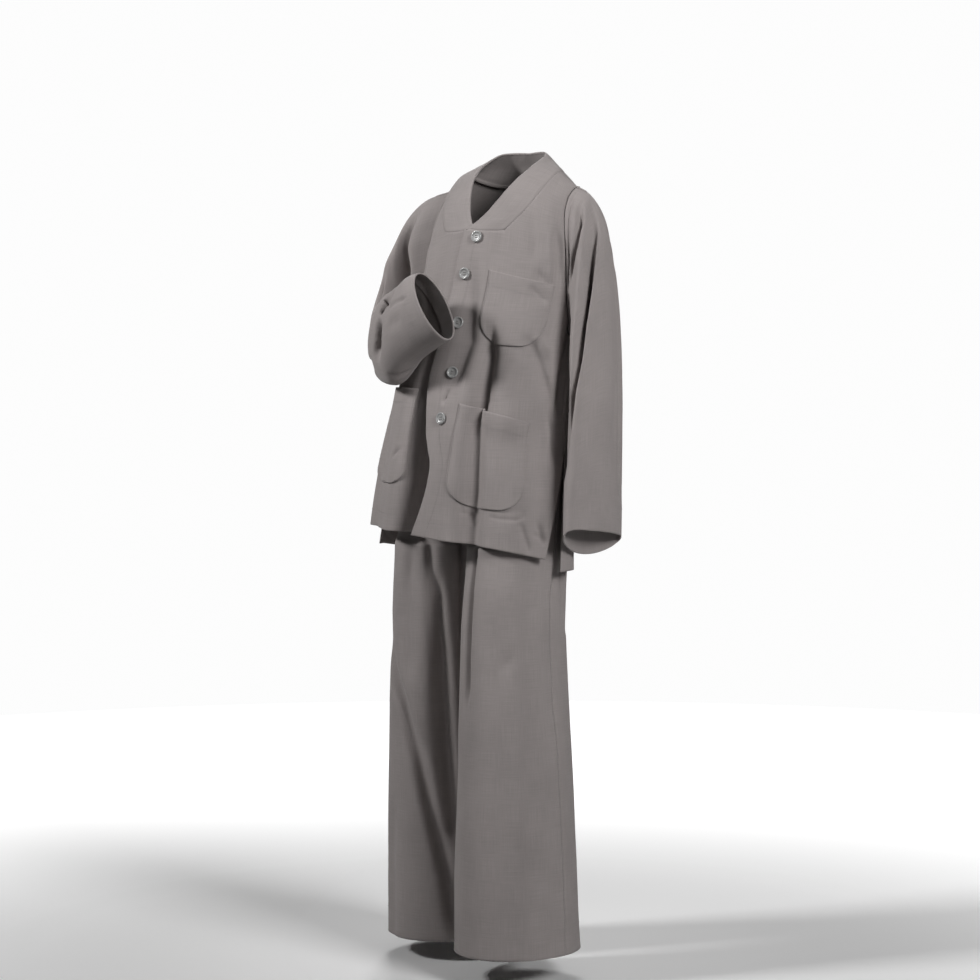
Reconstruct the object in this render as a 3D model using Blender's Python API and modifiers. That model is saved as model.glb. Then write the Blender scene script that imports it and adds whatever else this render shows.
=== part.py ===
"""A grey monk suit, worn: a V-collar jacket with wide sleeves, and wide trousers.

Every piece of cloth is an open sheet on a smooth form that is worked out from the tables
below, and Solidify gives the sheet its thickness towards the inside. Heights in the tables
are in metres above the floor that the wearer stands on. The finished part has its origin
where the shoulders and the base of the neck carry it, HELD_HEIGHT above that floor.
The front looks along -Y and the wearer's left is +X.
"""

import math

import bpy
import bmesh
from mathutils import Matrix, Vector

# Driving dimensions, in metres and degrees
HELD_HEIGHT = 1.36            # height of the shoulders above the wearer's floor
CLOTH = 0.0015                # thickness of one layer of the cloth
BAND_CLOTH = 0.0024           # thickness of the folded collar band
SEAM_GAP = 0.0004             # gap between two pieces at a seam
SIDE_GAP = 0.0008             # gap at the side seams, which closes towards the inside
LAYER_GAP = 0.0008            # gap between the collar's two ends
LAP_GAP = 0.0012              # gap between the two fronts where one laps over the other
RIDGE_GAP = 0.0022            # gap at the shoulder seam's outer side, which closes inside
SLEEVE_CLEARANCE = 0.0035     # least distance from a sleeve's form to the body's form
LEFT_CUFF_BOW = -0.0047       # how far the left cuff's two sides lie above a flat hem, and its middles below
CUFF_BOW_START = 0.70         # share of the sleeve's length above which nothing is bowed
CROTCH_GAP = 0.0016           # gap at the seams that turn under at the crotch
STEP_LEVEL = 1.262            # level of the collar band's lower end, where it meets the neckline
STEP_DIP = 0.0075             # how much lower that end lies at the centre front
BACK_NECK_LEVEL = 1.304       # level of the neckline at the centre of the back
UNDERARM_LEVEL = 1.095
VENT_LEVEL = 0.90             # top of the side vents
HEM_LEVEL = 0.70              # nominal level that each hem row is shifted from
BUTTON_RADIUS = 0.0102
BUTTON_THICKNESS = 0.0034
BUTTON_SIDES = 16
BUTTON_STAND = 0.0009         # gap between a button's back and the front
BUTTON_RINGS = ((1.0, 0.0), (1.0, 0.7), (0.93, 1.0), (0.78, 1.0), (0.66, 0.55), (0.45, 0.42))  # radius, rise
WAISTBAND_HEIGHT = 0.036
WAISTBAND_COLUMNS = 52
CROTCH_HEIGHT = 0.742
CROTCH_RISE = 0.120           # height over which the crotch curve turns under
TROUSER_TOP = 1.000

# The jacket's body as rings: sizes from the ring's centre, and how far it climbs to the neck
TORSO_COLUMNS = ("level", "half_width", "front_depth", "back_depth", "centre_x", "side_y", "rise")
TORSO_ROWS = (
    (0.700, 0.2050, 0.1300, 0.1420, -0.020, -0.067, 0.000),
    (0.800, 0.1970, 0.1320, 0.1420, -0.017, -0.060, 0.000),
    (0.900, 0.1860, 0.1340, 0.1400, -0.012, -0.050, 0.000),
    (1.000, 0.1740, 0.1340, 0.1320, -0.006, -0.035, 0.000),
    (1.095, 0.1660, 0.1340, 0.1200, 0.003, -0.013, 0.000),
    (1.200, 0.1630, 0.1260, 0.1060, 0.010, 0.006, 0.012),
    (1.262, 0.1590, 0.1150, 0.0960, 0.012, 0.010, 0.034),
    (1.291, 0.1550, 0.1000, 0.0850, 0.012, 0.010, 0.055),
    (1.318, 0.1500, 0.0760, 0.0670, 0.012, 0.010, 0.080),
    (1.344, 0.1450, 0.0420, 0.0380, 0.012, 0.011, 0.102),
    (1.354, 0.1430, 0.0220, 0.0200, 0.012, 0.012, 0.110),
    (1.358, 0.1420, 0.0001, 0.0001, 0.012, 0.012, 0.1136),
)

# Levels of the rows above the collar's lower end, and the neckline's angles on them
UPPER_LEVELS = (1.277, 1.291, 1.304, 1.318, 1.331, 1.344, 1.354, 1.358)
NECK_COLUMNS = ("level", "front_angle", "back_angle")
NECK_ROWS = (
    (1.262, 24.3, 0.0),
    (1.277, 30.0, 0.0),
    (1.291, 35.0, 0.0),
    (1.304, 38.7, 0.0),
    (1.318, 42.0, 22.3),
    (1.331, 44.8, 33.4),
    (1.344, 46.9, 41.3),
    (1.354, 48.2, 46.0),
    (1.358, 48.9, 48.9),
)

# Inner edge of the collar band from the point of the V to the centre of the back
BAND_COLUMNS = ("left_across", "right_across", "forward", "height")
BAND_ROWS = (
    (0.0000, -0.0055, -0.1035, 1.2920),
    (0.0100, 0.0045, -0.0980, 1.3000),
    (0.0220, 0.0140, -0.0900, 1.3140),
    (0.0330, 0.0260, -0.0750, 1.3350),
    (0.0420, 0.0375, -0.0570, 1.3570),
    (0.0490, 0.0465, -0.0400, 1.3740),
    (0.0530, 0.0520, -0.0230, 1.3860),
    (0.0560, 0.0560, -0.0050, 1.3980),
    (0.0570, 0.0570, 0.0120, 1.4070),
    (0.0560, 0.0560, 0.0280, 1.4150),
    (0.0490, 0.0490, 0.0420, 1.4230),
    (0.0340, 0.0340, 0.0530, 1.4250),
    (0.0180, 0.0180, 0.0590, 1.4250),
    (0.0000, 0.0000, 0.0610, 1.4240),
)
BAND_SHARES = (0.25, 0.5, 0.75, 1.0)  # places across the band beyond its start
BAND_BULGE = 0.003
BAND_START = 0.008            # share of the band's width left free along the neckline
BAND_RAISE = 0.0006           # how far the band stands off the body's form
BAND_LIFTED = (3.0, 7.0)      # columns over which the left end comes down from the right end
BAND_LIFT_SHARE = 0.5         # share of the band's width over which that lift grows
BAND_AXIS_Y = 0.02            # where the neck's middle lies, which the band bulges away from
BAND_LEAN = 0.03

# How far the armhole seams stand from the side line
ARMHOLE_COLUMNS = ("level", "spread")
ARMHOLE_ROWS = (
    (1.095, 0.4),
    (1.120, 9.0),
    (1.160, 16.0),
    (1.210, 20.0),
    (1.262, 22.0),
    (1.304, 23.0),
    (1.331, 21.0),
    (1.354, 12.0),
    (1.358, 2.0),
)

# Height of the jacket's hem, by angle from the front round the wearer's left
HEM_COLUMNS = ("angle", "height")
FRONT_HEM_ROWS = (
    (-84.0, 0.770),
    (-25.0, 0.764),
    (-5.0, 0.758),
    (32.0, 0.744),
    (72.0, 0.722),
)
BACK_HEM_ROWS = (
    (90.0, 0.700),
    (140.0, 0.700),
    (180.0, 0.704),
    (225.0, 0.714),
    (270.0, 0.730),
)

# The left front's edge, which laps over the right one, and the line of the buttons
PLACKET_COLUMNS = ("level", "edge_x", "under_edge_x")
PLACKET_ROWS = (
    (0.700, -0.050, 0.004),
    (0.762, -0.031, 0.010),
    (0.830, -0.016, 0.018),
    (0.875, -0.012, 0.024),
    (0.940, -0.027, 0.026),
    (1.020, -0.033, 0.028),
    (1.100, -0.022, 0.032),
    (1.200, -0.009, 0.035),
    (1.262, 0.002, 0.040),
)
BUTTON_COLUMNS = ("height", "x")
BUTTON_PLACES = ((1.2705, 0.0305), (1.208, 0.0125), (1.123, 0.0110), (1.038, 0.0125), (0.960, 0.0060))
LAP_FADE_START = 14.0         # angles between which the upper front comes down to its form
LAP_FADE_END = 24.0

# Folds of the jacket's body: a negative depth is a trough
FOLD_COLUMNS = ("top", "bottom", "angle_top", "angle_bottom", "width_top", "width_bottom", "depth")
TORSO_FOLDS = (
    (1.120, 0.600, 27.0, 31.0, 0.010, 0.017, -0.015),
    (1.080, 0.600, 40.0, 47.0, 0.022, 0.030, 0.006),
    (1.080, 0.600, 14.0, 15.0, 0.018, 0.024, 0.004),
    (1.060, 0.600, -23.0, -29.0, 0.020, 0.026, 0.008),
    (1.230, 0.920, 62.0, 68.0, 0.014, 0.016, -0.003),
    (1.000, 0.600, -60.0, -62.0, 0.022, 0.030, 0.006),
    (1.280, 0.600, 124.0, 120.0, 0.020, 0.026, -0.012),
    (1.200, 0.600, 148.0, 144.0, 0.024, 0.030, 0.008),
    (1.150, 0.600, 172.0, 168.0, 0.018, 0.026, -0.009),
    (1.200, 0.600, -158.0, -160.0, 0.024, 0.030, 0.007),
    (1.280, 0.600, -128.0, -132.0, 0.020, 0.028, -0.013),
    (1.000, 0.600, -108.0, -110.0, 0.020, 0.026, 0.005),
)
RECESS_FOLDS = ((1.080, 0.600, -10.5, -12.0, 0.017, 0.028, -0.031),)  # of the lower front alone
FOLD_FADE = 0.14              # height over which a fold grows from its top end

# Sleeves as rings: the line over the shoulder and elbow, the underarm line, and half the depth
SLEEVE_COLUMNS = ("along", "outer_x", "outer_y", "outer_h", "inner_x", "inner_y", "inner_h",
                  "front_x", "front_y", "front_h")
LEFT_SLEEVE_ROWS = (
    (0.00, 0.1540, 0.0120, 1.3580, 0.1690, -0.0130, 1.0950, 0.0000, -0.0400, 0.0000),
    (0.07, 0.1800, 0.0140, 1.3440, 0.1740, -0.0090, 1.0860, 0.0000, -0.0460, 0.0000),
    (0.15, 0.2020, 0.0140, 1.3100, 0.1775, -0.0100, 1.0700, 0.0000, -0.0520, 0.0000),
    (0.25, 0.2150, 0.0110, 1.2500, 0.1800, -0.0120, 1.0420, 0.0000, -0.0580, 0.0000),
    (0.38, 0.2260, 0.0060, 1.1600, 0.1815, -0.0150, 1.0000, 0.0000, -0.0640, 0.0000),
    (0.53, 0.2330, -0.0020, 1.0500, 0.1830, -0.0180, 0.9400, 0.0000, -0.0700, 0.0000),
    (0.69, 0.2360, -0.0120, 0.9400, 0.1850, -0.0210, 0.8700, 0.0000, -0.0750, 0.0000),
    (0.85, 0.2370, -0.0200, 0.8450, 0.1880, -0.0240, 0.7950, 0.0000, -0.0770, 0.0050),
    (1.00, 0.2380, -0.0260, 0.7727, 0.1910, -0.0270, 0.7326, 0.0000, -0.0780, 0.0103),
)
RIGHT_SLEEVE_ROWS = (
    (0.00, -0.1300, 0.0120, 1.3580, -0.1630, -0.0130, 1.0950, 0.0000, -0.0400, 0.0000),
    (0.07, -0.1750, 0.0040, 1.3450, -0.1700, -0.0150, 1.0900, -0.0040, -0.0460, 0.0000),
    (0.15, -0.2070, -0.0080, 1.3080, -0.1740, -0.0220, 1.0860, -0.0080, -0.0440, 0.0000),
    (0.25, -0.2180, -0.0300, 1.2400, -0.1720, -0.0460, 1.0920, -0.0100, -0.0450, 0.0000),
    (0.36, -0.2220, -0.0550, 1.1500, -0.1560, -0.0850, 1.1180, -0.0120, -0.0450, 0.0020),
    (0.48, -0.2060, -0.0850, 1.0680, -0.1360, -0.1160, 1.1520, -0.0120, -0.0430, 0.0030),
    (0.60, -0.1540, -0.1340, 1.0180, -0.1090, -0.1720, 1.1720, -0.0120, -0.0420, 0.0040),
    (0.74, -0.0950, -0.1800, 1.0160, -0.0580, -0.2020, 1.1900, -0.0080, -0.0430, 0.0000),
    (0.88, -0.0250, -0.2000, 1.0600, -0.0320, -0.2120, 1.2040, -0.0020, -0.0460, -0.0040),
    (1.00, 0.0500, -0.2110, 1.0950, -0.0120, -0.2160, 1.2080, 0.0100, -0.0480, -0.0040),
)
SLEEVE_FOLD_COLUMNS = ("start", "end", "angle_start", "angle_end", "width", "depth")
LEFT_SLEEVE_FOLDS = (
    (0.04, 0.80, 14.0, 74.0, 0.013, -0.012),
    (0.02, 0.30, 46.0, 66.0, 0.010, -0.007),
    (0.10, 1.10, -40.0, -64.0, 0.016, -0.010),
    (0.30, 1.10, 118.0, 128.0, 0.014, -0.007),
)
RIGHT_SLEEVE_FOLDS = (
    (0.38, 0.66, 28.0, 52.0, 0.016, -0.012),
    (0.20, 0.50, 118.0, 150.0, 0.014, -0.012),
    (0.04, 0.42, -30.0, -60.0, 0.016, -0.010),
    (0.60, 1.10, -70.0, -60.0, 0.016, -0.006),
)
SLEEVE_FOLD_FADE = 0.10
LOOP_FADE = 0.26              # share of the sleeve over which the armhole's own loop fades
EVEN_FADE = 0.45              # share of the sleeve over which its columns even out
CLEARANCE_FADE = 0.10
SLEEVE_RINGS = (0.0, 0.035, 0.075, 0.12, 0.17, 0.23, 0.30, 0.37, 0.44, 0.51, 0.58, 0.66, 0.74, 0.83, 0.92, 1.0)

# Trouser legs as rings, and the hips above the crotch
LEG_COLUMNS = ("height", "centre_x", "centre_y", "half_width", "half_depth")
LEFT_LEG_ROWS = (
    (0.050, 0.1150, -0.1050, 0.1050, 0.1200),
    (0.300, 0.1050, -0.0960, 0.0950, 0.1120),
    (0.500, 0.0940, -0.0860, 0.0840, 0.1050),
    (0.660, 0.0860, -0.0740, 0.0790, 0.1020),
    (0.742, 0.0810, -0.0610, 0.0803, 0.0980),
    (0.900, 0.0810, -0.0580, 0.0803, 0.0980),
)
RIGHT_LEG_ROWS = (
    (0.036, -0.1130, -0.0100, 0.1060, 0.1200),
    (0.300, -0.1070, -0.0220, 0.1000, 0.1150),
    (0.500, -0.0980, -0.0360, 0.0920, 0.1120),
    (0.660, -0.0880, -0.0520, 0.0840, 0.1040),
    (0.742, -0.0830, -0.0590, 0.0823, 0.0980),
    (0.900, -0.0830, -0.0580, 0.0823, 0.0980),
)
HIP_COLUMNS = ("height", "half_width", "front_depth", "back_depth", "centre_x", "centre_y")
HIP_ROWS = (
    (0.742, 0.1630, 0.0980, 0.0980, -0.001, -0.060),
    (0.860, 0.1620, 0.0960, 0.1050, -0.001, -0.052),
    (0.950, 0.1520, 0.0940, 0.1020, -0.001, -0.044),
    (1.000, 0.1440, 0.0920, 0.0960, -0.001, -0.038),
    (1.040, 0.1420, 0.0910, 0.0940, -0.001, -0.034),
)
LEFT_LEG_FOLDS = (
    (0.730, 0.420, -7.0, -12.0, 0.010, 0.012, -0.010),
    (0.730, 0.300, -30.0, -34.0, 0.014, 0.020, 0.006),
    (0.620, 0.000, 40.0, 46.0, 0.030, 0.040, -0.004),
    (0.700, 0.000, 150.0, 140.0, 0.020, 0.030, -0.010),
    (0.700, 0.000, 196.0, 204.0, 0.020, 0.030, -0.009),
)
RIGHT_LEG_FOLDS = (
    (0.740, 0.180, 36.0, 46.0, 0.012, 0.018, -0.012),
    (0.640, 0.000, -50.0, 38.0, 0.016, 0.022, -0.007),
    (0.700, 0.000, 208.0, 216.0, 0.020, 0.030, -0.010),
    (0.700, 0.000, 150.0, 160.0, 0.020, 0.030, -0.009),
)
TROUSER_HEIGHTS = (1.000, 0.950, 0.900, 0.862, 0.825, 0.790, 0.764, 0.748, 0.742,
                   0.715, 0.675, 0.620, 0.550, 0.470, 0.380, 0.290, 0.200, 0.110)
TROUSER_COLUMNS = 12
GATHERS = 26                  # gathers round the elastic waist
GATHER_DEPTH = 0.0022

# Pockets by angle and level of the corners, as laid on the fronts
POCKET_COLUMNS = ("name", "inner_top", "inner_bottom", "outer_bottom", "outer_top",
                  "inner_top_level", "inner_bottom_level", "outer_bottom_level", "outer_top_level",
                  "corner_radius", "gap")
POCKET_ROWS = (
    ("chest_pocket", 18.3, 17.2, 60.0, 62.5, 1.205, 1.088, 1.080, 1.186, 0.045, 0.0018),
    ("pocket_left", 15.5, 12.5, 56.0, 58.5, 0.986, 0.812, 0.803, 0.953, 0.045, 0.0006),
    ("pocket_right", -18.5, -18.5, -60.0, -60.0, 1.010, 0.846, 0.846, 1.010, 0.026, 0.0015),
)
POCKET_CORNER_STEPS = 4
POCKET_STRAIGHT_STEPS = 6
POCKET_MARGIN = 0.06          # how far beyond a pocket's outline its cloth starts before it is cut
POCKET_CUT = 0.03             # reach of the outline to either side of the body's form

# How far each panel's edge turns away at the foot of a side vent, in degrees
VENT_COLUMNS = ("front", "back")
LEFT_VENT = (18.0, -5.0)
RIGHT_VENT = (7.0, -5.5)

SIDE_COLUMNS = 13             # columns from the neckline to the side seam
SHARED_COLUMNS = 6            # columns that both fronts have in the same places at the lap
LAP_COLUMNS = 10              # columns between the front edge and the neckline's foot
BODY_LEVELS = (0.70, 0.745, 0.79, 0.828, 0.864, 0.90, 0.94, 0.98, 1.02, 1.06, 1.095,
               1.125, 1.158, 1.192, 1.227, 1.262)

LEFT_DENSE = (31.0,)          # angles that the columns crowd round, at the deepest folds
RIGHT_DENSE = (16.0,)
DENSE_SHARE = 1.6
DENSE_WIDTH = 9.0
DENSE_STEPS = 200
NECK_RADIUS = 0.15            # distance that turns the seam gap at the neckline into an angle
LEAST_DEPTH = 0.03            # keeps a normal steady where the body's form closes over the shoulder
SLOPE_STEP = 0.5              # degrees to either side that a normal is measured over
SLOPE_RISE = 0.003
SLEEVE_RADIUS = 0.07          # distance that turns a fold's angle on a sleeve into a width
GATHER_START = 0.90           # height at which the gathers begin, and over which they grow
GATHER_RISE = 0.08
WELD = 0.00005
LEVEL_TRIES = 6

CLOTH_COLOUR = (0.245, 0.232, 0.228)
BUTTON_COLOUR = (0.42, 0.42, 0.41)


class Table:
    """Rows of numbers with named columns, read between the rows by a smooth curve."""

    def __init__(self, columns, rows):
        self.places = [row[0] for row in rows]
        self.columns = {name: [row[i] for row in rows] for i, name in enumerate(columns)}
        self.slopes = {name: self.column_slopes(values) for name, values in self.columns.items()}

    def column_slopes(self, values):
        steps = [(values[i + 1] - values[i]) / (self.places[i + 1] - self.places[i])
                 for i in range(len(values) - 1)]
        inner = [0.0 if a * b <= 0.0 else 2.0 * a * b / (a + b) for a, b in zip(steps, steps[1:])]
        return [steps[0]] + inner + [steps[-1]]

    def at(self, name, place):
        places = self.places
        place = min(max(place, places[0]), places[-1])
        i = max(k for k in range(len(places) - 1) if places[k] <= place or k == 0)
        span = places[i + 1] - places[i]
        t = (place - places[i]) / span
        low, high = self.columns[name][i], self.columns[name][i + 1]
        slope_low, slope_high = self.slopes[name][i] * span, self.slopes[name][i + 1] * span
        return (low * (2 * t**3 - 3 * t**2 + 1) + high * (3 * t**2 - 2 * t**3)
                + slope_low * (t**3 - 2 * t**2 + t) + slope_high * (t**3 - t**2))


TORSO = Table(TORSO_COLUMNS, TORSO_ROWS)
NECK = Table(NECK_COLUMNS, NECK_ROWS)
ARMHOLE = Table(ARMHOLE_COLUMNS, ARMHOLE_ROWS)
FRONT_HEM = Table(HEM_COLUMNS, FRONT_HEM_ROWS)
BACK_HEM = Table(HEM_COLUMNS, BACK_HEM_ROWS)
PLACKET = Table(PLACKET_COLUMNS, PLACKET_ROWS)
LEFT_SLEEVE = Table(SLEEVE_COLUMNS, LEFT_SLEEVE_ROWS)
RIGHT_SLEEVE = Table(SLEEVE_COLUMNS, RIGHT_SLEEVE_ROWS)
LEFT_LEG = Table(LEG_COLUMNS, LEFT_LEG_ROWS)
RIGHT_LEG = Table(LEG_COLUMNS, RIGHT_LEG_ROWS)
HIPS = Table(HIP_COLUMNS, HIP_ROWS)


def ease(t):
    t = min(max(t, 0.0), 1.0)
    return t * t * (3.0 - 2.0 * t)


def turn_between(a, b):
    """Signed angle from b to a, in degrees."""
    return (a - b + 180.0) % 360.0 - 180.0


def fold_offset(folds, angle, height, radius):
    """Sum of the folds at one place: each is a soft trough or ridge that runs down the cloth."""
    total = 0.0
    for top, bottom, angle_top, angle_bottom, width_top, width_bottom, depth in folds:
        if not bottom < height < top:
            continue
        share = (top - height) / (top - bottom)
        centre = angle_top + (angle_bottom - angle_top) * share
        width = width_top + (width_bottom - width_top) * share
        across = math.radians(turn_between(angle, centre)) * radius / width
        grown = ease((top - height) / FOLD_FADE) * ease((height - bottom) / FOLD_FADE)
        total += depth * grown * math.exp(-across * across)
    return total


def torso_point(angle, level, outward=0.0, folds=TORSO_FOLDS):
    """A point of the jacket's body. Angle 0 is the centre front and 90 the wearer's left."""
    turn = math.radians(angle)
    half_width = TORSO.at("half_width", level)
    front = math.cos(turn) > 0.0
    depth = TORSO.at("front_depth" if front else "back_depth", level)
    x = half_width * math.sin(turn)
    y = -depth * math.cos(turn)
    across = Vector((x / half_width**2, y / max(depth, LEAST_DEPTH)**2, 0.0)).normalized()
    climb = TORSO.at("rise", level) * (1.0 - abs(math.sin(turn)))
    offset = fold_offset(folds, angle, level, (half_width + depth) / 2.0)
    place = Vector((TORSO.at("centre_x", level) + x, TORSO.at("side_y", level) + y, level + climb))
    place += across * offset
    if outward:
        beside = (torso_point(angle + SLOPE_STEP, level, 0.0, folds)
                  - torso_point(angle - SLOPE_STEP, level, 0.0, folds))
        above = (torso_point(angle, level + SLOPE_RISE, 0.0, folds)
                 - torso_point(angle, level - SLOPE_RISE, 0.0, folds))
        place += beside.cross(above).normalized() * outward
    return place


def angle_of_x(x, level):
    """The angle at which the front of the body has this x."""
    share = (x - TORSO.at("centre_x", level)) / TORSO.at("half_width", level)
    return math.degrees(math.asin(min(max(share, -1.0), 1.0)))


def hem_shift(level, angle, front):
    """Moves a row below the vents so that the lowest row runs along the hem."""
    if level >= VENT_LEVEL:
        return level
    share = (VENT_LEVEL - level) / (VENT_LEVEL - HEM_LEVEL)
    hem = FRONT_HEM.at("height", angle) if front else BACK_HEM.at("height", angle % 360.0)
    return VENT_LEVEL - share * (VENT_LEVEL - hem)


def side_angle(level, side, front):
    """Angle of a panel's outer edge: the side seam, the open vent below it or the armhole."""
    if level > UNDERARM_LEVEL:
        spread = ARMHOLE.at("spread", level)
    else:
        spread = math.degrees(SIDE_GAP / 2.0 / TORSO.at("half_width", level))
    if level < VENT_LEVEL:
        open_front, open_back = LEFT_VENT if side > 0 else RIGHT_VENT
        spread += (open_front if front else open_back) * (1.0 - (level - HEM_LEVEL) / (VENT_LEVEL - HEM_LEVEL))
    return 90.0 - spread if front else 90.0 + spread


def lap(angle):
    """How far the left front stands off the form, so that it lies on the right front."""
    fade = 1.0 - ease((angle - LAP_FADE_START) / (LAP_FADE_END - LAP_FADE_START))
    return (CLOTH + LAP_GAP) * fade


def spaced(start, end, count, dense=()):
    """Angles from start to end, closer together near the angles in dense."""
    fine = DENSE_STEPS
    middles = [start + (end - start) * (k + 0.5) / fine for k in range(fine)]
    weights = [1.0 + sum(DENSE_SHARE * math.exp(-((m - d) / DENSE_WIDTH) ** 2) for d in dense)
               for m in middles]
    total, k, reached, out = sum(weights), 0, 0.0, []
    for i in range(count + 1):
        target = total * i / count
        while k < fine and reached + weights[k] < target:
            reached += weights[k]
            k += 1
        part = (target - reached) / weights[k] if k < fine else 0.0
        out.append(start + (end - start) * min((k + part) / fine, 1.0))
    return out


def body_rows():
    return BODY_LEVELS + UPPER_LEVELS


def step_level(angle):
    """Level of the seam under the collar band, which dips towards the centre front."""
    share = angle / NECK.at("front_angle", STEP_LEVEL)
    return STEP_LEVEL - STEP_DIP * max(1.0 - share * share, 0.0)


def front_grid(side):
    """Points of one front, row by row from the hem, from the front edge to the outer edge."""
    left = side > 0
    step = len(BODY_LEVELS) - 1
    dense = LEFT_DENSE if left else RIGHT_DENSE
    folds = TORSO_FOLDS if left else TORSO_FOLDS + RECESS_FOLDS
    rows = []
    for r, level in enumerate(body_rows()):
        outer = side_angle(level, side, True)
        foot = NECK.at("front_angle", max(level, STEP_LEVEL))
        angles = spaced(foot, outer, SIDE_COLUMNS, dense if level < STEP_LEVEL else ())
        over_edge = angle_of_x(PLACKET.at("edge_x", level), level)
        under_edge = angle_of_x(PLACKET.at("under_edge_x", level), level)
        shared = spaced(over_edge, under_edge, SHARED_COLUMNS)
        if not left:
            shared = [-a for a in reversed(shared)]
        beyond = spaced(shared[-1], foot, LAP_COLUMNS - SHARED_COLUMNS)
        angles = shared[:-1] + beyond[:-1] + angles
        row = []
        for j, angle in enumerate(angles):
            if r > step and j < LAP_COLUMNS:
                row.append(None)
                continue
            if r >= step and j >= LAP_COLUMNS:
                nudge = math.degrees(SEAM_GAP / 2.0 / NECK_RADIUS) if j == LAP_COLUMNS else 0.0
                angle += nudge
            signed = angle * side
            shown = hem_shift(level, signed, True)
            if r == step and j < LAP_COLUMNS:
                shown = step_level(angle)
            row.append(torso_point(signed, shown, lap(angle) if left else 0.0, folds))
        rows.append(row)
    for point in rows[-1][LAP_COLUMNS:]:
        point.y -= RIDGE_GAP / 2.0
    return rows


def back_grid():
    """Points of the back: columns from the wearer's left side to the right one."""
    rows = []
    for level in body_rows():
        halves = []
        for side in (1, -1):
            outer = side_angle(level, side, False)
            inner = 180.0 - NECK.at("back_angle", level)
            angles = spaced(outer, inner, SIDE_COLUMNS)
            halves.append([torso_point(a * side, hem_shift(level, a * side, False)) for a in angles])
        rows.append((halves[0], halves[1]))
    for half in rows[-1]:
        for point in half:
            point.y += RIDGE_GAP / 2.0
    return rows


def sleeve_loop(front_rows, back_rows):
    """The armhole's loop from the shoulder tip down the front edge and up the back edge."""
    start = BODY_LEVELS.index(UNDERARM_LEVEL)
    front = front_rows[start:]
    back = back_rows[start:]
    tip = (front[-1] + back[-1]) / 2.0
    foot = (front[0] + back[0]) / 2.0
    return [tip] + front[-2:0:-1] + [foot] + back[1:-1]


def sleeve_ring(table, folds, loop, along, bow):
    """One ring of a sleeve, as many points as the loop has."""
    def vector(kind, place):
        return Vector([table.at(f"{kind}_{axis}", place) for axis in "xyh"])

    outer, inner, front = (vector(kind, along) for kind in ("outer", "inner", "front"))
    centre, crown = (outer + inner) / 2.0, (outer - inner) / 2.0
    top, bottom, first_front = (vector(kind, 0.0) for kind in ("outer", "inner", "front"))
    first_centre, first_crown = (top + bottom) / 2.0, (top - bottom) / 2.0
    keep = 1.0 - ease(along / LOOP_FADE)
    even = ease(along / EVEN_FADE)
    count = len(loop)
    points = []
    for j in range(count):
        share = (loop[j].z - first_centre.z) / first_crown.z
        turn = math.acos(min(max(share, -1.0), 1.0))
        if j > count / 2:
            turn = 2.0 * math.pi - turn
        first = first_centre + first_crown * math.cos(turn) + first_front * math.sin(turn)
        turn += (2.0 * math.pi * j / count - turn) * even
        arm = crown * math.cos(turn) + front * math.sin(turn)
        offset = 0.0
        for start, end, angle_start, angle_end, width, depth in folds:
            if start < along < end:
                share = (along - start) / (end - start)
                middle = angle_start + (angle_end - angle_start) * share
                across = math.radians(turn_between(math.degrees(turn), middle)) * SLEEVE_RADIUS / width
                grown = ease((along - start) / SLEEVE_FOLD_FADE) * ease((end - along) / SLEEVE_FOLD_FADE)
                offset += depth * grown * math.exp(-across * across)
        point = centre + arm + arm.normalized() * offset + (loop[j] - first) * keep
        point.z += bow * math.cos(2.0 * turn) * ease((along - CUFF_BOW_START) / (1.0 - CUFF_BOW_START))
        points.append(clear_of_body(point, SLEEVE_CLEARANCE * ease(along / CLEARANCE_FADE)))
    return points


def clear_of_body(point, clearance):
    """The point itself, or where it leaves the body's form by the clearance."""
    if clearance <= 0.0 or point.z > STEP_LEVEL or point.z < HEM_LEVEL:
        return point
    across = (point.x - TORSO.at("centre_x", point.z)) / TORSO.at("half_width", point.z)
    ahead = TORSO.at("side_y", point.z) - point.y
    depth = TORSO.at("front_depth" if ahead > 0.0 else "back_depth", point.z)
    angle = math.degrees(math.atan2(across, ahead / depth))
    on_body = torso_point(angle, point.z, clearance)
    middle = Vector((TORSO.at("centre_x", point.z), TORSO.at("side_y", point.z), point.z))
    if (point - middle).length < (on_body - middle).length:
        return Vector((on_body.x, on_body.y, point.z))
    return point


def sleeve_grid(table, folds, loop, bow=0.0):
    rings = [sleeve_ring(table, folds, loop, along, bow) for along in SLEEVE_RINGS]
    first, second = rings[0], rings[1]
    rings[0] = [a + (b - a).normalized() * SEAM_GAP for a, b in zip(first, second)]
    return rings


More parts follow.
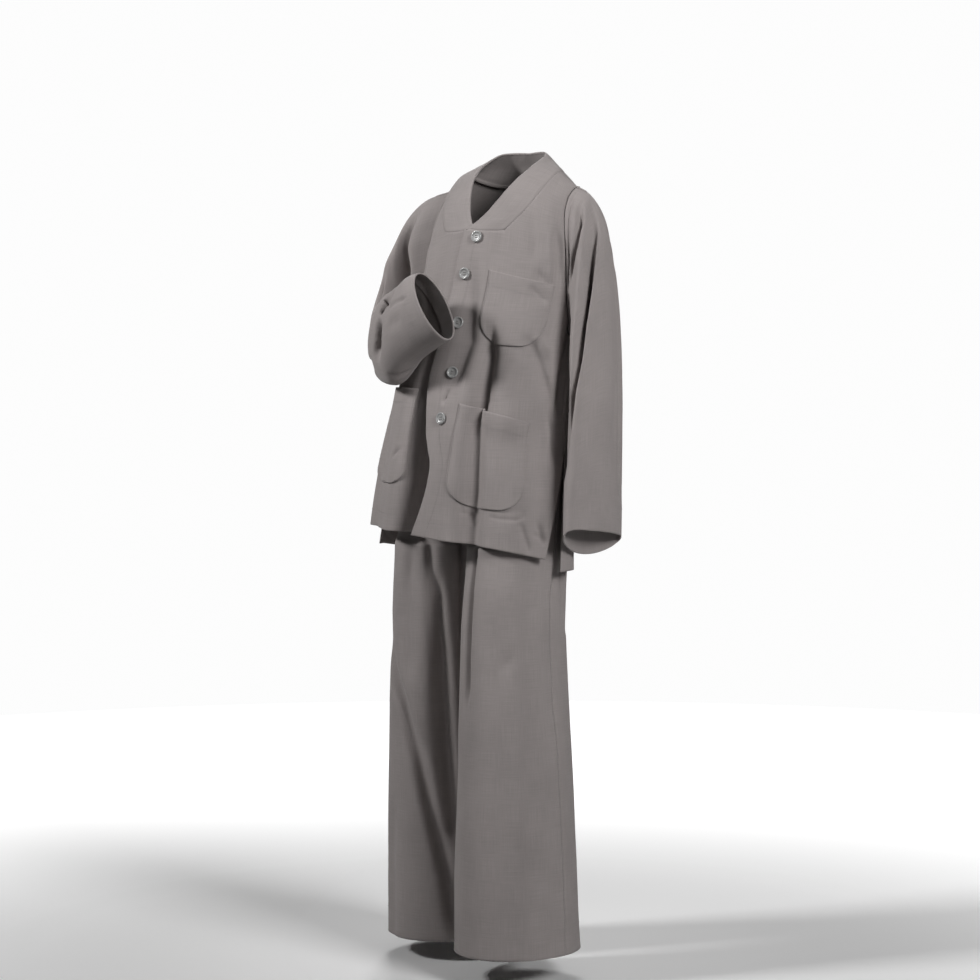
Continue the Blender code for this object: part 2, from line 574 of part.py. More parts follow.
def band_grid(side):
    """One half of the collar band, from the front end to the centre of the back."""
    end_level = STEP_LEVEL + 2.0 * SEAM_GAP
    over = side > 0
    lift = BAND_CLOTH + LAYER_GAP + BAND_RAISE
    levels = (end_level,) + UPPER_LEVELS
    seam = [torso_point(side * NECK.at("front_angle", level), level, BAND_RAISE) for level in levels]
    seam.insert(1, (seam[0] + seam[1]) / 2.0)
    for level in reversed(UPPER_LEVELS[:-1]):
        if level >= BACK_NECK_LEVEL:
            seam.append(torso_point(side * (180.0 - NECK.at("back_angle", level)), level, BAND_RAISE))
    centre = TORSO.at("centre_x", STEP_LEVEL)
    edge = angle_of_x(PLACKET.at("edge_x" if over else "under_edge_x", STEP_LEVEL), STEP_LEVEL)
    start = side * NECK.at("front_angle", end_level)
    inner = [None]
    for left_across, right_across, forward, height in BAND_ROWS:
        inner.append(Vector((centre + (left_across if over else -right_across), forward, height)))
    rows = []
    for v in (BAND_START,) + BAND_SHARES:
        row = []
        for k, (a, b) in enumerate(zip(seam, inner)):
            away = Vector(((a.x - centre), a.y - BAND_AXIS_Y, BAND_LEAN)).normalized()
            if k == 0:
                angle = start + (edge - start) * v
                point = torso_point(angle, step_level(angle) + 2.0 * SEAM_GAP, BAND_RAISE)
            else:
                point = a.lerp(b, v) + away * BAND_BULGE * math.sin(math.pi * v)
            if over:
                first, last = BAND_LIFTED
                near = 1.0 - ease((k - first) / (last - first))
                point = point + away * lift * near * ease(v / BAND_LIFT_SHARE)
            row.append(point)
        rows.append(row)
    return rows


def leg_point(side, angle, height):
    """A point of a leg. Angle 0 is its front, 90 the outside and -90 the inseam."""
    table = LEFT_LEG if side > 0 else RIGHT_LEG
    folds = LEFT_LEG_FOLDS if side > 0 else RIGHT_LEG_FOLDS
    half_width, half_depth = table.at("half_width", height), table.at("half_depth", height)
    turn = math.radians(angle)
    out = Vector((side * math.sin(turn), -math.cos(turn), 0.0))
    world_angle = angle if side > 0 else -angle
    offset = fold_offset(folds, world_angle, height, (half_width + half_depth) / 2.0)
    return Vector((table.at("centre_x", height) + out.x * (half_width + offset),
                   table.at("centre_y", height) + out.y * (half_depth + offset), height))


def hip_point(side, angle, height):
    turn = math.radians(angle)
    depth = HIPS.at("front_depth" if math.cos(turn) > 0 else "back_depth", height)
    gather = GATHER_DEPTH * math.sin(math.radians(angle) * GATHERS) * ease((height - GATHER_START) / GATHER_RISE)
    x = side * math.sin(turn) * (HIPS.at("half_width", height) + gather)
    y = -math.cos(turn) * (depth + gather)
    return Vector((HIPS.at("centre_x", height) + x, HIPS.at("centre_y", height) + y, height))


def trouser_grid(side, front):
    """Points of one trouser panel, from the waist down, from the inner seam to the side seam."""
    hem = (LEFT_LEG if side > 0 else RIGHT_LEG).places[0]
    rows = []
    for height in TROUSER_HEIGHTS + (hem,):
        closed = min(max((CROTCH_HEIGHT + CROTCH_RISE - height) / CROTCH_RISE, 0.0), 1.0)
        under = 1.0 - math.sqrt(1.0 - closed * closed)
        row = []
        for k in range(TROUSER_COLUMNS + 1):
            q = k / TROUSER_COLUMNS
            hip_angle, leg_angle = 90.0 * q, -90.0 + 180.0 * q
            if not front:
                hip_angle, leg_angle = 180.0 - hip_angle, 180.0 - leg_angle
            hip = hip_point(side, hip_angle, max(height, CROTCH_HEIGHT))
            point = hip.lerp(leg_point(side, leg_angle, height), under) if height < HIP_ROWS[1][0] else hip
            if k == 0 and height >= CROTCH_HEIGHT:
                point.x = HIPS.at("centre_x", height) + side * SEAM_GAP / 2.0
            if k in (0, TROUSER_COLUMNS):
                gap = CROTCH_GAP if k == 0 else SEAM_GAP
                point.y += (-1.0 if front else 1.0) * gap / 2.0
            row.append(point)
        rows.append(row)
    return rows


def sheet(name, rows, thickness, weld=False, flip=False):
    """An open sheet through rows of points, made solid by Solidify towards its inner side."""
    mesh = bpy.data.meshes.new(name)
    built = bmesh.new()
    grid = [[built.verts.new(p) if p is not None else None for p in row] for row in rows]
    for low, high in zip(grid, grid[1:]):
        columns = len(low) if weld else len(low) - 1
        for j in range(columns):
            k = (j + 1) % len(low)
            corners = [low[j], low[k], high[k], high[j]]
            if None not in corners:
                built.faces.new(corners[::-1] if flip else corners)
    for vert in [v for v in built.verts if not v.link_faces]:
        built.verts.remove(vert)
    built.to_mesh(mesh)
    built.free()
    return solid_from(name, mesh, thickness)


def solid_from(name, mesh, thickness):
    mesh.transform(Matrix.Translation((0.0, 0.0, -HELD_HEIGHT)))
    mesh.shade_smooth()
    part = bpy.data.objects.new(name, mesh)
    PARTS.objects.link(part)
    solid = part.modifiers.new("thickness", "SOLIDIFY")
    solid.thickness = thickness
    solid.offset = -1.0
    solid.use_quality_normals = True
    part.data.materials.append(GREY_CLOTH)
    return part


def joined_sheet(name, halves, thickness, flips):
    """Several grids welded into one open sheet where their edges meet."""
    mesh = bpy.data.meshes.new(name)
    built = bmesh.new()
    for rows, flip in zip(halves, flips):
        grid = [[built.verts.new(p) for p in row] for row in rows]
        for low, high in zip(grid, grid[1:]):
            for j in range(len(low) - 1):
                corners = [low[j], low[j + 1], high[j + 1], high[j]]
                built.faces.new(corners[::-1] if flip else corners)
    bmesh.ops.remove_doubles(built, verts=built.verts, dist=WELD)
    built.to_mesh(mesh)
    built.free()
    return solid_from(name, mesh, thickness)


def pocket_outline(row):
    """Angle and level of each point round a pocket: straight top, rounded lower corners."""
    (_, inner_top, inner_bottom, outer_bottom, outer_top,
     top_in, bottom_in, bottom_out, top_out, corner, _) = row
    width = math.radians(abs(outer_bottom - inner_bottom)) * TORSO.at("half_width", bottom_in)
    height = (top_in - bottom_in + top_out - bottom_out) / 2.0
    across, up = corner / width, corner / height
    turns = [math.radians(90.0 * k / POCKET_CORNER_STEPS) for k in range(POCKET_CORNER_STEPS + 1)]
    flat = [(across * (1.0 - math.cos(t)), up * (1.0 - math.sin(t))) for t in turns]
    steps = [k / POCKET_STRAIGHT_STEPS for k in range(1, POCKET_STRAIGHT_STEPS)]
    shares = flat + [(across + (1.0 - 2.0 * across) * k, 0.0) for k in steps]
    shares += [(1.0 - s, v) for s, v in reversed(flat)] + [(1.0, 0.5), (1.0, 1.0)]
    shares += [(k, 1.0) for k in reversed(steps)] + [(0.0, 1.0), (0.0, 0.5)]
    points = []
    for s, v in shares:
        start = inner_bottom + (inner_top - inner_bottom) * v
        end = outer_bottom + (outer_top - outer_bottom) * v
        low = bottom_in + (bottom_out - bottom_in) * s
        high = top_in + (top_out - top_in) * s
        points.append((start + (end - start) * s, low + (high - low) * v))
    return points


def pocket(row, panel_rows, flip):
    """A patch pocket: the front's own points moved out, cut to the pocket's outline."""
    name, gap, outline = row[0], row[-1], pocket_outline(row)
    levels = [level for _, level in outline]
    kept = [line for line, level in zip(panel_rows, body_rows())
            if min(levels) - POCKET_MARGIN <= level <= max(levels) + POCKET_MARGIN]
    cloth = sheet(name, moved_out(kept, flip, CLOTH + gap), CLOTH, flip=flip)
    mesh = bpy.data.meshes.new(name + "_outline")
    built = bmesh.new()
    rings = []
    for reach in (-POCKET_CUT, POCKET_CUT):
        ring = []
        for angle, level in outline:
            point = torso_point(angle, level)
            axis = Vector((TORSO.at("centre_x", level), TORSO.at("side_y", level), point.z))
            ring.append(built.verts.new(point + (point - axis).normalized() * reach))
        rings.append(ring)
    count = len(outline)
    for k in range(count):
        n = (k + 1) % count
        built.faces.new((rings[0][k], rings[0][n], rings[1][n], rings[1][k]))
    for ring in rings:
        middle = built.verts.new(sum((v.co for v in ring), Vector()) / count)
        for k in range(count):
            built.faces.new((ring[k], ring[(k + 1) % count], middle))
    bmesh.ops.recalc_face_normals(built, faces=built.faces)
    built.to_mesh(mesh)
    built.free()
    mesh.transform(Matrix.Translation((0.0, 0.0, -HELD_HEIGHT)))
    cutter = bpy.data.objects.new(name + "_outline", mesh)
    CUTTERS.objects.link(cutter)
    cutter.hide_render = True
    cutter.display_type = "WIRE"
    cut = cloth.modifiers.new("outline", "BOOLEAN")
    cut.operation = "INTERSECT"
    cut.solver = "EXACT"
    cut.object = cutter


def moved_out(rows, flip, distance):
    """The same grid moved out along its own normals."""
    moved = []
    for r, row in enumerate(rows):
        line = []
        for j, point in enumerate(row):
            if point is None:
                line.append(None)
                continue
            ahead = row[min(j + 1, len(row) - 1)] or point
            behind = row[max(j - 1, 0)] or point
            above = rows[min(r + 1, len(rows) - 1)][j] or point
            below = rows[max(r - 1, 0)][j] or point
            normal = (ahead - behind).cross(above - below).normalized() * (-1.0 if flip else 1.0)
            line.append(point + normal * distance)
        moved.append(line)
    return moved


def material(name, colour, roughness):
    made = bpy.data.materials.new(name)
    made.use_nodes = True
    shader = made.node_tree.nodes["Principled BSDF"]
    shader.inputs["Base Color"].default_value = (*colour, 1.0)
    shader.inputs["Roughness"].default_value = roughness
    shader.inputs["Metallic"].default_value = 0.0
    return made


def button(index, height, x):
    """A round button with a raised rim, its back just clear of the upper front."""
    angle = angle_of_x(x, height)
    level = height
    for _ in range(LEVEL_TRIES):
        level = height - TORSO.at("rise", level) * (1.0 - abs(math.sin(math.radians(angle))))
    outward = lap(angle)
    here = torso_point(angle, level, outward)
    beside = torso_point(angle + SLOPE_STEP, level, outward) - here
    above = torso_point(angle, level + SLOPE_RISE, outward) - here
    normal = beside.cross(above).normalized()
    mesh = bpy.data.meshes.new(f"button_{index}")
    built = bmesh.new()
    rings = []
    for share, rise in BUTTON_RINGS:
        rings.append([built.verts.new((share * BUTTON_RADIUS * math.cos(2 * math.pi * k / BUTTON_SIDES),
                                       share * BUTTON_RADIUS * math.sin(2 * math.pi * k / BUTTON_SIDES),
                                       rise * BUTTON_THICKNESS)) for k in range(BUTTON_SIDES)])
    for low, high in zip(rings, rings[1:]):
        for k in range(BUTTON_SIDES):
            n = (k + 1) % BUTTON_SIDES
            built.faces.new((low[k], low[n], high[n], high[k]))
    built.faces.new(rings[0][::-1])
    built.faces.new(rings[-1])
    built.to_mesh(mesh)
    built.free()
    part = bpy.data.objects.new(f"button_{index}", mesh)
    PARTS.objects.link(part)
    part.rotation_mode = "QUATERNION"
    part.rotation_quaternion = normal.to_track_quat("Z", "Y")
    part.location = here + normal * BUTTON_STAND - Vector((0.0, 0.0, HELD_HEIGHT))
    part.data.materials.append(PEARL)
    return part


def waistband():
    """The elastic band that closes the trousers' top, one ring round the hips."""
    rows = []
    for k in range(3):
        height = TROUSER_TOP + SEAM_GAP + WAISTBAND_HEIGHT * k / 2.0
        ring = []
        for j in range(WAISTBAND_COLUMNS):
            angle = 360.0 * j / WAISTBAND_COLUMNS
            side = 1 if angle <= 180.0 else -1
            ring.append(hip_point(side, angle if side > 0 else 360.0 - angle, height))
        rows.append(ring)
    return sheet("waistband", rows, BAND_CLOTH, weld=True)


for existing in list(bpy.data.objects):
    bpy.data.objects.remove(existing)
PARTS = bpy.data.collections.new("monk_suit")
CUTTERS = bpy.data.collections.new("cutters")
bpy.context.scene.collection.children.link(PARTS)
bpy.context.scene.collection.children.link(CUTTERS)
GREY_CLOTH = material("grey_cloth", CLOTH_COLOUR, 0.85)
PEARL = material("grey_pearl", BUTTON_COLOUR, 0.3)

front_left_rows = front_grid(1)
front_right_rows = front_grid(-1)
back_rows = back_grid()
sheet("front_left", front_left_rows, CLOTH)
sheet("front_right", front_right_rows, CLOTH, flip=True)
joined_sheet("back", ([r[0] for r in back_rows], [r[1] for r in back_rows]), CLOTH, (False, True))

left_loop = sleeve_loop([row[-1] for row in front_left_rows], [row[0][0] for row in back_rows])
right_loop = sleeve_loop([row[-1] for row in front_right_rows], [row[1][0] for row in back_rows])
sheet("sleeve_left", sleeve_grid(LEFT_SLEEVE, LEFT_SLEEVE_FOLDS, left_loop, LEFT_CUFF_BOW), CLOTH, weld=True)
sheet("sleeve_right", sleeve_grid(RIGHT_SLEEVE, RIGHT_SLEEVE_FOLDS, right_loop), CLOTH, weld=True, flip=True)

joined_sheet("collar", (band_grid(1), band_grid(-1)), BAND_CLOTH, (True, False))
for pocket_row in POCKET_ROWS:
    on_right = pocket_row[1] < 0.0
    pocket(pocket_row, front_right_rows if on_right else front_left_rows, on_right)
for number, (height, x) in enumerate(BUTTON_PLACES):
    button(number + 1, height, x)

for side, word in ((1, "left"), (-1, "right")):
    for front, panel in ((True, "front"), (False, "back")):
        outside_first = (side > 0) == front
        sheet(f"trouser_{panel}_{word}", trouser_grid(side, front), CLOTH, flip=outside_first)
waistband()
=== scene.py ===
import math
import bpy
import bmesh
import numpy as np
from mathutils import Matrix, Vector


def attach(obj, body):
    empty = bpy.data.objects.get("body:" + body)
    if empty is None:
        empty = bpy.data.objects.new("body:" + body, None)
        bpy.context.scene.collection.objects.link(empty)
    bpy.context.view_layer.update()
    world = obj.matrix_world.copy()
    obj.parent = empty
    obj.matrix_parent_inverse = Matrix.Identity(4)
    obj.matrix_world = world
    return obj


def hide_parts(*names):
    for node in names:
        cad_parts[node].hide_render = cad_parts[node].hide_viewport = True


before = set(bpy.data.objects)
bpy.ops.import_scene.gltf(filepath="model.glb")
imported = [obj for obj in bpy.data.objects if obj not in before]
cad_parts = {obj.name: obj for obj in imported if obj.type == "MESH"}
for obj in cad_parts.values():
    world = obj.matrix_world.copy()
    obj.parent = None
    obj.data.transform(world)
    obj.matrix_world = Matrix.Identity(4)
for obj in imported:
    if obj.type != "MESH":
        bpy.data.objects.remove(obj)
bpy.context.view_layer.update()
print("frame loaded")

# heights in this script are above the floor that the wearer stands on, and this is the origin's
heldHeight = 1.36

# ---- small tools for nodes and objects


def feed(tree, node, inputs):
    # each input by its name or number: a value, or the output that is linked to it
    for name, value in inputs.items():
        if isinstance(value, bpy.types.NodeSocket):
            tree.links.new(value, node.inputs[name])
        else:
            node.inputs[name].default_value = value


def addNode(tree, kind, place, inputs=None, **settings):
    node = tree.nodes.new(kind)
    node.location = place
    for name, value in settings.items():
        setattr(node, name, value)
    feed(tree, node, inputs or {})
    return node


def addMath(tree, operation, place, label, *values):
    node = addNode(tree, "ShaderNodeMath", place, dict(enumerate(values)), operation=operation, label=label)
    return node.outputs[0]


def newMaterial(name):
    made = bpy.data.materials.new(name)
    made.use_nodes = True
    return made, made.node_tree, made.node_tree.nodes["Principled BSDF"]


def newGroup(name, inputs, outputs):
    group = bpy.data.node_groups.new(name, "ShaderNodeTree")
    for way, sockets in (("INPUT", inputs), ("OUTPUT", outputs)):
        for socket in sockets:
            kind = "NodeSocketVector" if socket == "Vector" else "NodeSocketFloat"
            group.interface.new_socket(socket, in_out=way, socket_type=kind)
    return group, addNode(group, "NodeGroupInput", (-1300, 0)), addNode(group, "NodeGroupOutput", (700, 0))


def addObject(name, data, **settings):
    made = bpy.data.objects.new(name, data)
    for key, value in settings.items():
        setattr(made, key, value)
    bpy.context.scene.collection.objects.link(made)
    return made


def meshFrom(built, name):
    mesh = bpy.data.meshes.new(name)
    built.to_mesh(mesh)
    built.free()
    return mesh


def joinRings(built, rings):
    # faces from ring to ring, and a face over each end
    for low, high in zip(rings, rings[1:]):
        for k in range(len(low)):
            n = (k + 1) % len(low)
            built.faces.new((low[k], low[n], high[n], high[k]))
    built.faces.new(rings[0][::-1])
    built.faces.new(rings[-1])


# ---- camera, light and floor

studio = {
    "distance": 4.8,            # from the camera to the wearer's middle
    "turn": 38.0,               # degrees round towards the wearer's left
    "eyeHeight": 1.1,
    "aimHeight": 0.83,
    "lens": 100.14,
    "sensor": 36.0,
    "sideShift": -0.01327,
    "floorRadius": 3.4,
    "floorSides": 96,
    "floorColour": (0.84, 0.84, 0.84),
    "floorRoughness": 0.9,
    "floorGlow": (0.5, 2.2, 0.85),  # where the floor starts and ends to merge with the lit wall, and how far
    "worldColour": (1.0, 1.0, 1.0),
    "worldStrength": 0.08,
    "wallStrength": 0.98,       # of the lit wall behind the suit
    "wallReach": (0.93, 0.962),    # how near to straight behind it a direction is where that wall fades
    "lights": (                 # name, place, size, power, spread in degrees
        ("keyLight", (-2.0, -2.8, 1.8), 0.7, 10.3, 46.0),
        ("fillLight", (3.7, -0.9, 1.5), 1.5, 18.0, 58.0),
        ("backLight", (-2.6, 3.2, 1.8), 1.2, 42.0, 120.0),
    ),
    "lit": (0.0, 0.0, -0.12),   # what the lights point at
}


def buildCamera(settings):
    lens = bpy.data.cameras.new("camera")
    lens.lens = settings["lens"]
    lens.sensor_width = settings["sensor"]
    lens.shift_x = settings["sideShift"]
    turn, reach = math.radians(settings["turn"]), settings["distance"]
    place = Vector((reach * math.sin(turn), -reach * math.cos(turn), settings["eyeHeight"] - heldHeight))
    ahead = Vector((0.0, 0.0, settings["aimHeight"] - heldHeight)) - place
    bpy.context.scene.camera = addObject("camera", lens, location=place,
                                         rotation_euler=ahead.to_track_quat("-Z", "Y").to_euler())
    return ahead.normalized()


def buildLights(settings):
    for name, place, size, power, spread in settings["lights"]:
        lamp = bpy.data.lights.new(name, "AREA")
        lamp.shape = "SQUARE"
        lamp.size = size
        lamp.energy = power
        lamp.spread = math.radians(spread)
        ahead = Vector(settings["lit"]) - Vector(place)
        addObject(name, lamp, location=place, rotation_euler=ahead.to_track_quat("-Z", "Y").to_euler())


def buildRoom(settings, ahead):
    # a dim room with a lit wall behind the suit
    world = bpy.data.worlds.new("paleRoom")
    world.use_nodes = True
    tree = world.node_tree
    towards = addNode(tree, "ShaderNodeTexCoord", (-900, 0))
    behind = addNode(tree, "ShaderNodeVectorMath", (-700, 0), {0: towards.outputs["Generated"], 1: ahead},
                     operation="DOT_PRODUCT")
    start, end = settings["wallReach"]
    wall = addNode(tree, "ShaderNodeMapRange", (-500, 0), {
        "Value": behind.outputs["Value"], "From Min": start, "From Max": end,
        "To Min": settings["worldStrength"], "To Max": settings["wallStrength"]},
        interpolation_type="SMOOTHSTEP")
    feed(tree, tree.nodes["Background"], {
        "Color": (*settings["worldColour"], 1.0), "Strength": wall.outputs["Result"]})
    bpy.context.scene.world = world
    bpy.context.scene.view_settings.view_transform = "Standard"


def buildFloor(settings):
    sides, radius = settings["floorSides"], settings["floorRadius"]
    turns = [2 * math.pi * n / sides for n in range(sides)]
    mesh = bpy.data.meshes.new("studioFloor")
    mesh.from_pydata([(radius * math.cos(t), radius * math.sin(t), 0) for t in turns], [],
                     [tuple(range(sides))])
    paint, tree, shader = newMaterial("floorPaint")
    place = addNode(tree, "ShaderNodeTexCoord", (-1100, 0))
    away = addNode(tree, "ShaderNodeVectorMath", (-900, 0), {0: place.outputs["Object"]}, operation="LENGTH")
    near, far, most = settings["floorGlow"]
    glow = addNode(tree, "ShaderNodeMapRange", (-700, 0), {
        "Value": away.outputs["Value"], "From Min": near, "From Max": far, "To Max": most},
        interpolation_type="SMOOTHSTEP")
    rays = addNode(tree, "ShaderNodeLightPath", (-700, -300))
    seen = addMath(tree, "MULTIPLY", (-450, 0), "only seen, lights nothing", glow.outputs["Result"],
                   rays.outputs["Is Camera Ray"])
    feed(tree, shader, {
        "Base Color": (*settings["floorColour"], 1.0), "Roughness": settings["floorRoughness"],
        "Emission Color": (*settings["worldColour"], 1.0), "Emission Strength": seen})
    mesh.materials.append(paint)
    addObject("studioFloor", mesh, location=(0.0, 0.0, -heldHeight))


buildRoom(studio, buildCamera(studio))
buildLights(studio)
buildFloor(studio)
print("camera, lights and floor made")

# ---- small tools for forms


def ease(t):
    t = np.clip(t, 0.0, 1.0)
    return t * t * (3.0 - 2.0 * t)


def turnBetween(a, b):
    return (a - b + 180.0) % 360.0 - 180.0


def unit(vectors):
    return vectors / np.maximum(np.linalg.norm(vectors, axis=-1, keepdims=True), 1e-9)


def tableAt(table, name, place):
    # a smooth curve through a column of a table, whose first column holds the places
    places = np.array(table[next(iter(table))], float)
    values = np.array(table[name], float)
    steps = np.diff(values) / np.diff(places)
    total = steps[:-1] + steps[1:]
    inner = np.where(steps[:-1] * steps[1:] > 0,
                     2 * steps[:-1] * steps[1:] / np.where(total == 0, 1, total), 0)
    slopes = np.concatenate([steps[:1], inner, steps[-1:]])
    place = np.clip(place, places[0], places[-1])
    i = np.clip(np.searchsorted(places, place, side="right") - 1, 0, len(places) - 2)
    span = places[i + 1] - places[i]
    t = (place - places[i]) / span
    return (values[i] * (2 * t**3 - 3 * t**2 + 1) + values[i + 1] * (3 * t**2 - 2 * t**3)
            + slopes[i] * span * (t**3 - 2 * t**2 + t) + slopes[i + 1] * span * (t**3 - t**2))


def softNoise(u, v, size, seed):
    # smooth uneven values from -1 to 1, one lump every size metres
    count, shift = 64, 100.0    # lumps each way before they repeat, and a shift that keeps places positive
    lattice = np.random.default_rng(seed).uniform(-1, 1, (count, count))
    x, y = np.asarray(u) / size + shift, np.asarray(v) / size + shift
    i, j = np.floor(x).astype(int), np.floor(y).astype(int)
    s, t = ease(x - i), ease(y - j)
    a, b = lattice[i % count, j % count], lattice[(i + 1) % count, j % count]
    c, d = lattice[i % count, (j + 1) % count], lattice[(i + 1) % count, (j + 1) % count]
    return (a * (1 - s) + b * s) * (1 - t) + (c * (1 - s) + d * s) * t


def longFolds(folds, angle, height, radius, fade):
    # soft troughs and ridges that run down the cloth:
    # top, bottom, angle at the top and bottom, width at the top and bottom, depth
    total = np.zeros(np.broadcast(angle, height).shape)
    for top, bottom, angleTop, angleBottom, widthTop, widthBottom, depth in folds:
        share = np.clip((top - height) / (top - bottom), 0, 1)
        centre = angleTop + (angleBottom - angleTop) * share
        width = widthTop + (widthBottom - widthTop) * share
        across = np.radians(turnBetween(angle, centre)) * radius / width
        total += depth * ease((top - height) / fade) * ease((height - bottom) / fade) * np.exp(-across**2)
    return total


def creases(rows, u, v, perU, perV):
    # each row is a path of (u, v) places, a width, a depth (a trough's is negative) and an end fade,
    # in metres, and how much sharper its right side is as the path is followed down
    total = np.zeros(np.broadcast(u, v).shape)
    for path, width, depth, fade, *sharper in rows:
        nearest, place, run = np.full(total.shape, 9.0), np.zeros(total.shape), 0.0
        side = np.zeros(total.shape)
        for (u0, v0), (u1, v1) in zip(path, path[1:]):
            ax, ay = turnBetween(u, u0) * perU, (v - v0) * perV
            bx, by = turnBetween(u1, u0) * perU, (v1 - v0) * perV
            length = math.hypot(bx, by)
            t = np.clip((ax * bx + ay * by) / length**2, 0, 1)
            apart = np.hypot(ax - t * bx, ay - t * by)
            closer = apart < nearest
            place = np.where(closer, run + t * length, place)
            side = np.where(closer, np.sign(bx * ay - by * ax), side)
            nearest = np.minimum(nearest, apart)
            run += length
        ends = ease(place / fade) * ease((run - place) / fade)
        spread = width * (1 - (sharper[0] if sharper else 0.0) * side)
        total += depth * ends * np.exp(-(nearest / spread)**2)
    return total


def raised(form, u, v, lift, stepU, stepV):
    # the form's points moved out along its own normals, and those normals
    beside = form(u + stepU, v) - form(u - stepU, v)
    above = form(u, v + stepV) - form(u, v - stepV)
    normals = unit(np.cross(beside, above))
    return form(u, v) + normals * np.asarray(lift)[..., None], normals


def runAlong(points, axis):
    # distance from the first point along each row or column of a grid
    steps = np.linalg.norm(np.diff(points, axis=axis), axis=-1)
    steps = np.nan_to_num(steps)
    start = np.zeros_like(np.take(steps, [0], axis=axis))
    return np.concatenate([start, np.cumsum(steps, axis=axis)], axis=axis)


def runBack(points, axis):
    # distance from the last point instead
    return np.flip(runAlong(np.flip(points, axis), axis), axis)


def facing(normals, outwards):
    return -normals if np.mean(np.sum(normals * outwards, axis=-1)) < 0 else normals


def addLumps(offset, lumps, u, v, seed, share=1.0):
    # the uneven cloth: size and height of each kind of lump
    for n, (size, height) in enumerate(lumps):
        offset = offset + height * softNoise(u, v, size, seed + n) * share
    return offset


def lineAt(points, normals, edge, distance, keep=slice(None)):
    # the line at a distance from an edge of a grid: "bottom", "top", "first" or "last" column
    if edge in ("bottom", "top"):
        points, normals = points.swapaxes(0, 1), normals.swapaxes(0, 1)
    if edge in ("top", "last"):
        points, normals = points[:, ::-1], normals[:, ::-1]
    found, ways = [], []
    for row, ways0 in zip(points[keep], normals[keep]):
        row, ways0 = row[~np.isnan(row[:, 0])], ways0[~np.isnan(row[:, 0])]
        run = np.concatenate([[0], np.cumsum(np.linalg.norm(np.diff(row, axis=0), axis=1))])
        found.append([np.interp(distance, run, row[:, k]) for k in range(3)])
        ways.append([np.interp(distance, run, ways0[:, k]) for k in range(3)])
    return np.array(found), unit(np.array(ways))


# ---- the cloth's material

cloth = {
    "colour": (0.262, 0.236, 0.23),
    "shadeColour": (0.236, 0.213, 0.208),
    "roughness": 0.86,
    "sheen": 0.1,
    "sheenRoughness": 0.45,
    "gloss": 0.28,
    "singleShare": 0.5,         # of the thickness, where the cloth is not turned in
    "thread": 0.00055,          # metres from one thread to the next
    "unevenness": 0.8,
    "threadTone": 0.35,         # how much an uneven thread changes the tone
    "weaveDepth": 0.00009,
    "weaveStrength": 0.5,
    "mottle": 0.1,             # metres from one faint cloud of tone to the next
    "thickness": 0.0022,        # where the cloth is turned under, and half of it elsewhere
    "allowance": 0.0045,        # cloth beyond a seam
    "tuck": 0.0024,             # how far it lies under the next piece
}
threads = {
    "colour": (0.225, 0.212, 0.208),
    "shade": 0.8,               # of the colour between the fibres
    "roughness": 0.6,
    "sheen": 0.2,
    "fibres": 3000.0,
    "stitch": 0.0024,
    "pitch": 0.0033,
    "radius": 0.00026,
    "arch": 1.5,                # radii that a stitch's middle lies above the cloth
    "margins": (0.002, 0.004),  # left bare at a seam's start and end
}
pearl = {
    "colour": (0.31, 0.31, 0.305),
    "edgeColour": (0.22, 0.22, 0.22),
    "roughness": (0.26, 0.38),
    "coat": 0.35,
    "coatRoughness": 0.08,
    "grain": 260.0,
    "swirl": 1.4,
}


def buildWeaveGroup():
    # plain weave from the cloth's own flat coordinates, with uneven threads
    group, given, result = newGroup("plainWeave", ("Vector", "Thread Spacing", "Unevenness"),
                                    ("Height", "Tone"))
    split = addNode(group, "ShaderNodeSeparateXYZ", (-1100, 120), {"Vector": given.outputs["Vector"]})
    waves = []
    for axis, y in (("X", 260), ("Y", -20)):
        count = addMath(group, "DIVIDE", (-900, y), "threads " + axis, split.outputs[axis],
                        given.outputs["Thread Spacing"])
        turn = addMath(group, "MULTIPLY", (-720, y), "half turns " + axis, count, math.pi)
        waves.append(addMath(group, "SINE", (-540, y), "wave " + axis, turn))
    over = addMath(group, "MULTIPLY", (-340, 120), "over and under", *waves)
    slubs = []
    for stretch, y in (((900.0, 22.0, 1.0), -300), ((22.0, 900.0, 1.0), -560)):
        long = addNode(group, "ShaderNodeMapping", (-900, y), {
            "Vector": given.outputs["Vector"], "Scale": stretch}, label="long threads")
        uneven = addNode(group, "ShaderNodeTexNoise", (-680, y), {
            "Vector": long.outputs[0], "Scale": 1.0, "Detail": 2.0}, label="uneven threads")
        slubs.append(uneven.outputs["Fac"])
    both = addMath(group, "ADD", (-440, -400), "both ways", *slubs)
    centred = addMath(group, "SUBTRACT", (-260, -400), "centred", both, 1.0)
    share = addMath(group, "MULTIPLY", (-80, -300), "unevenness", centred, given.outputs["Unevenness"])
    height = addMath(group, "MULTIPLY_ADD", (200, 80), "height", over, 0.5, share)
    feed(group, result, {"Height": height, "Tone": share})
    return group


def buildMottleGroup():
    # faint clouds of tone, as in a plain dyed cloth that has been washed and pressed
    group, given, result = newGroup("dyeMottle", ("Vector", "Cloud Size"), ("Mask",))
    scale = addMath(group, "DIVIDE", (-500, -140), "clouds in a metre", 1.0, given.outputs["Cloud Size"])
    clouds = addNode(group, "ShaderNodeTexNoise", (-280, 0), {
        "Vector": given.outputs["Vector"], "Scale": scale, "Detail": 3.0, "Roughness": 0.55}, label="clouds")
    soften = addNode(group, "ShaderNodeMapRange", (-60, 0), {
        "Value": clouds.outputs["Fac"], "From Min": 0.3, "From Max": 0.7}, label="soften")
    feed(group, result, {"Mask": soften.outputs["Result"]})
    return group


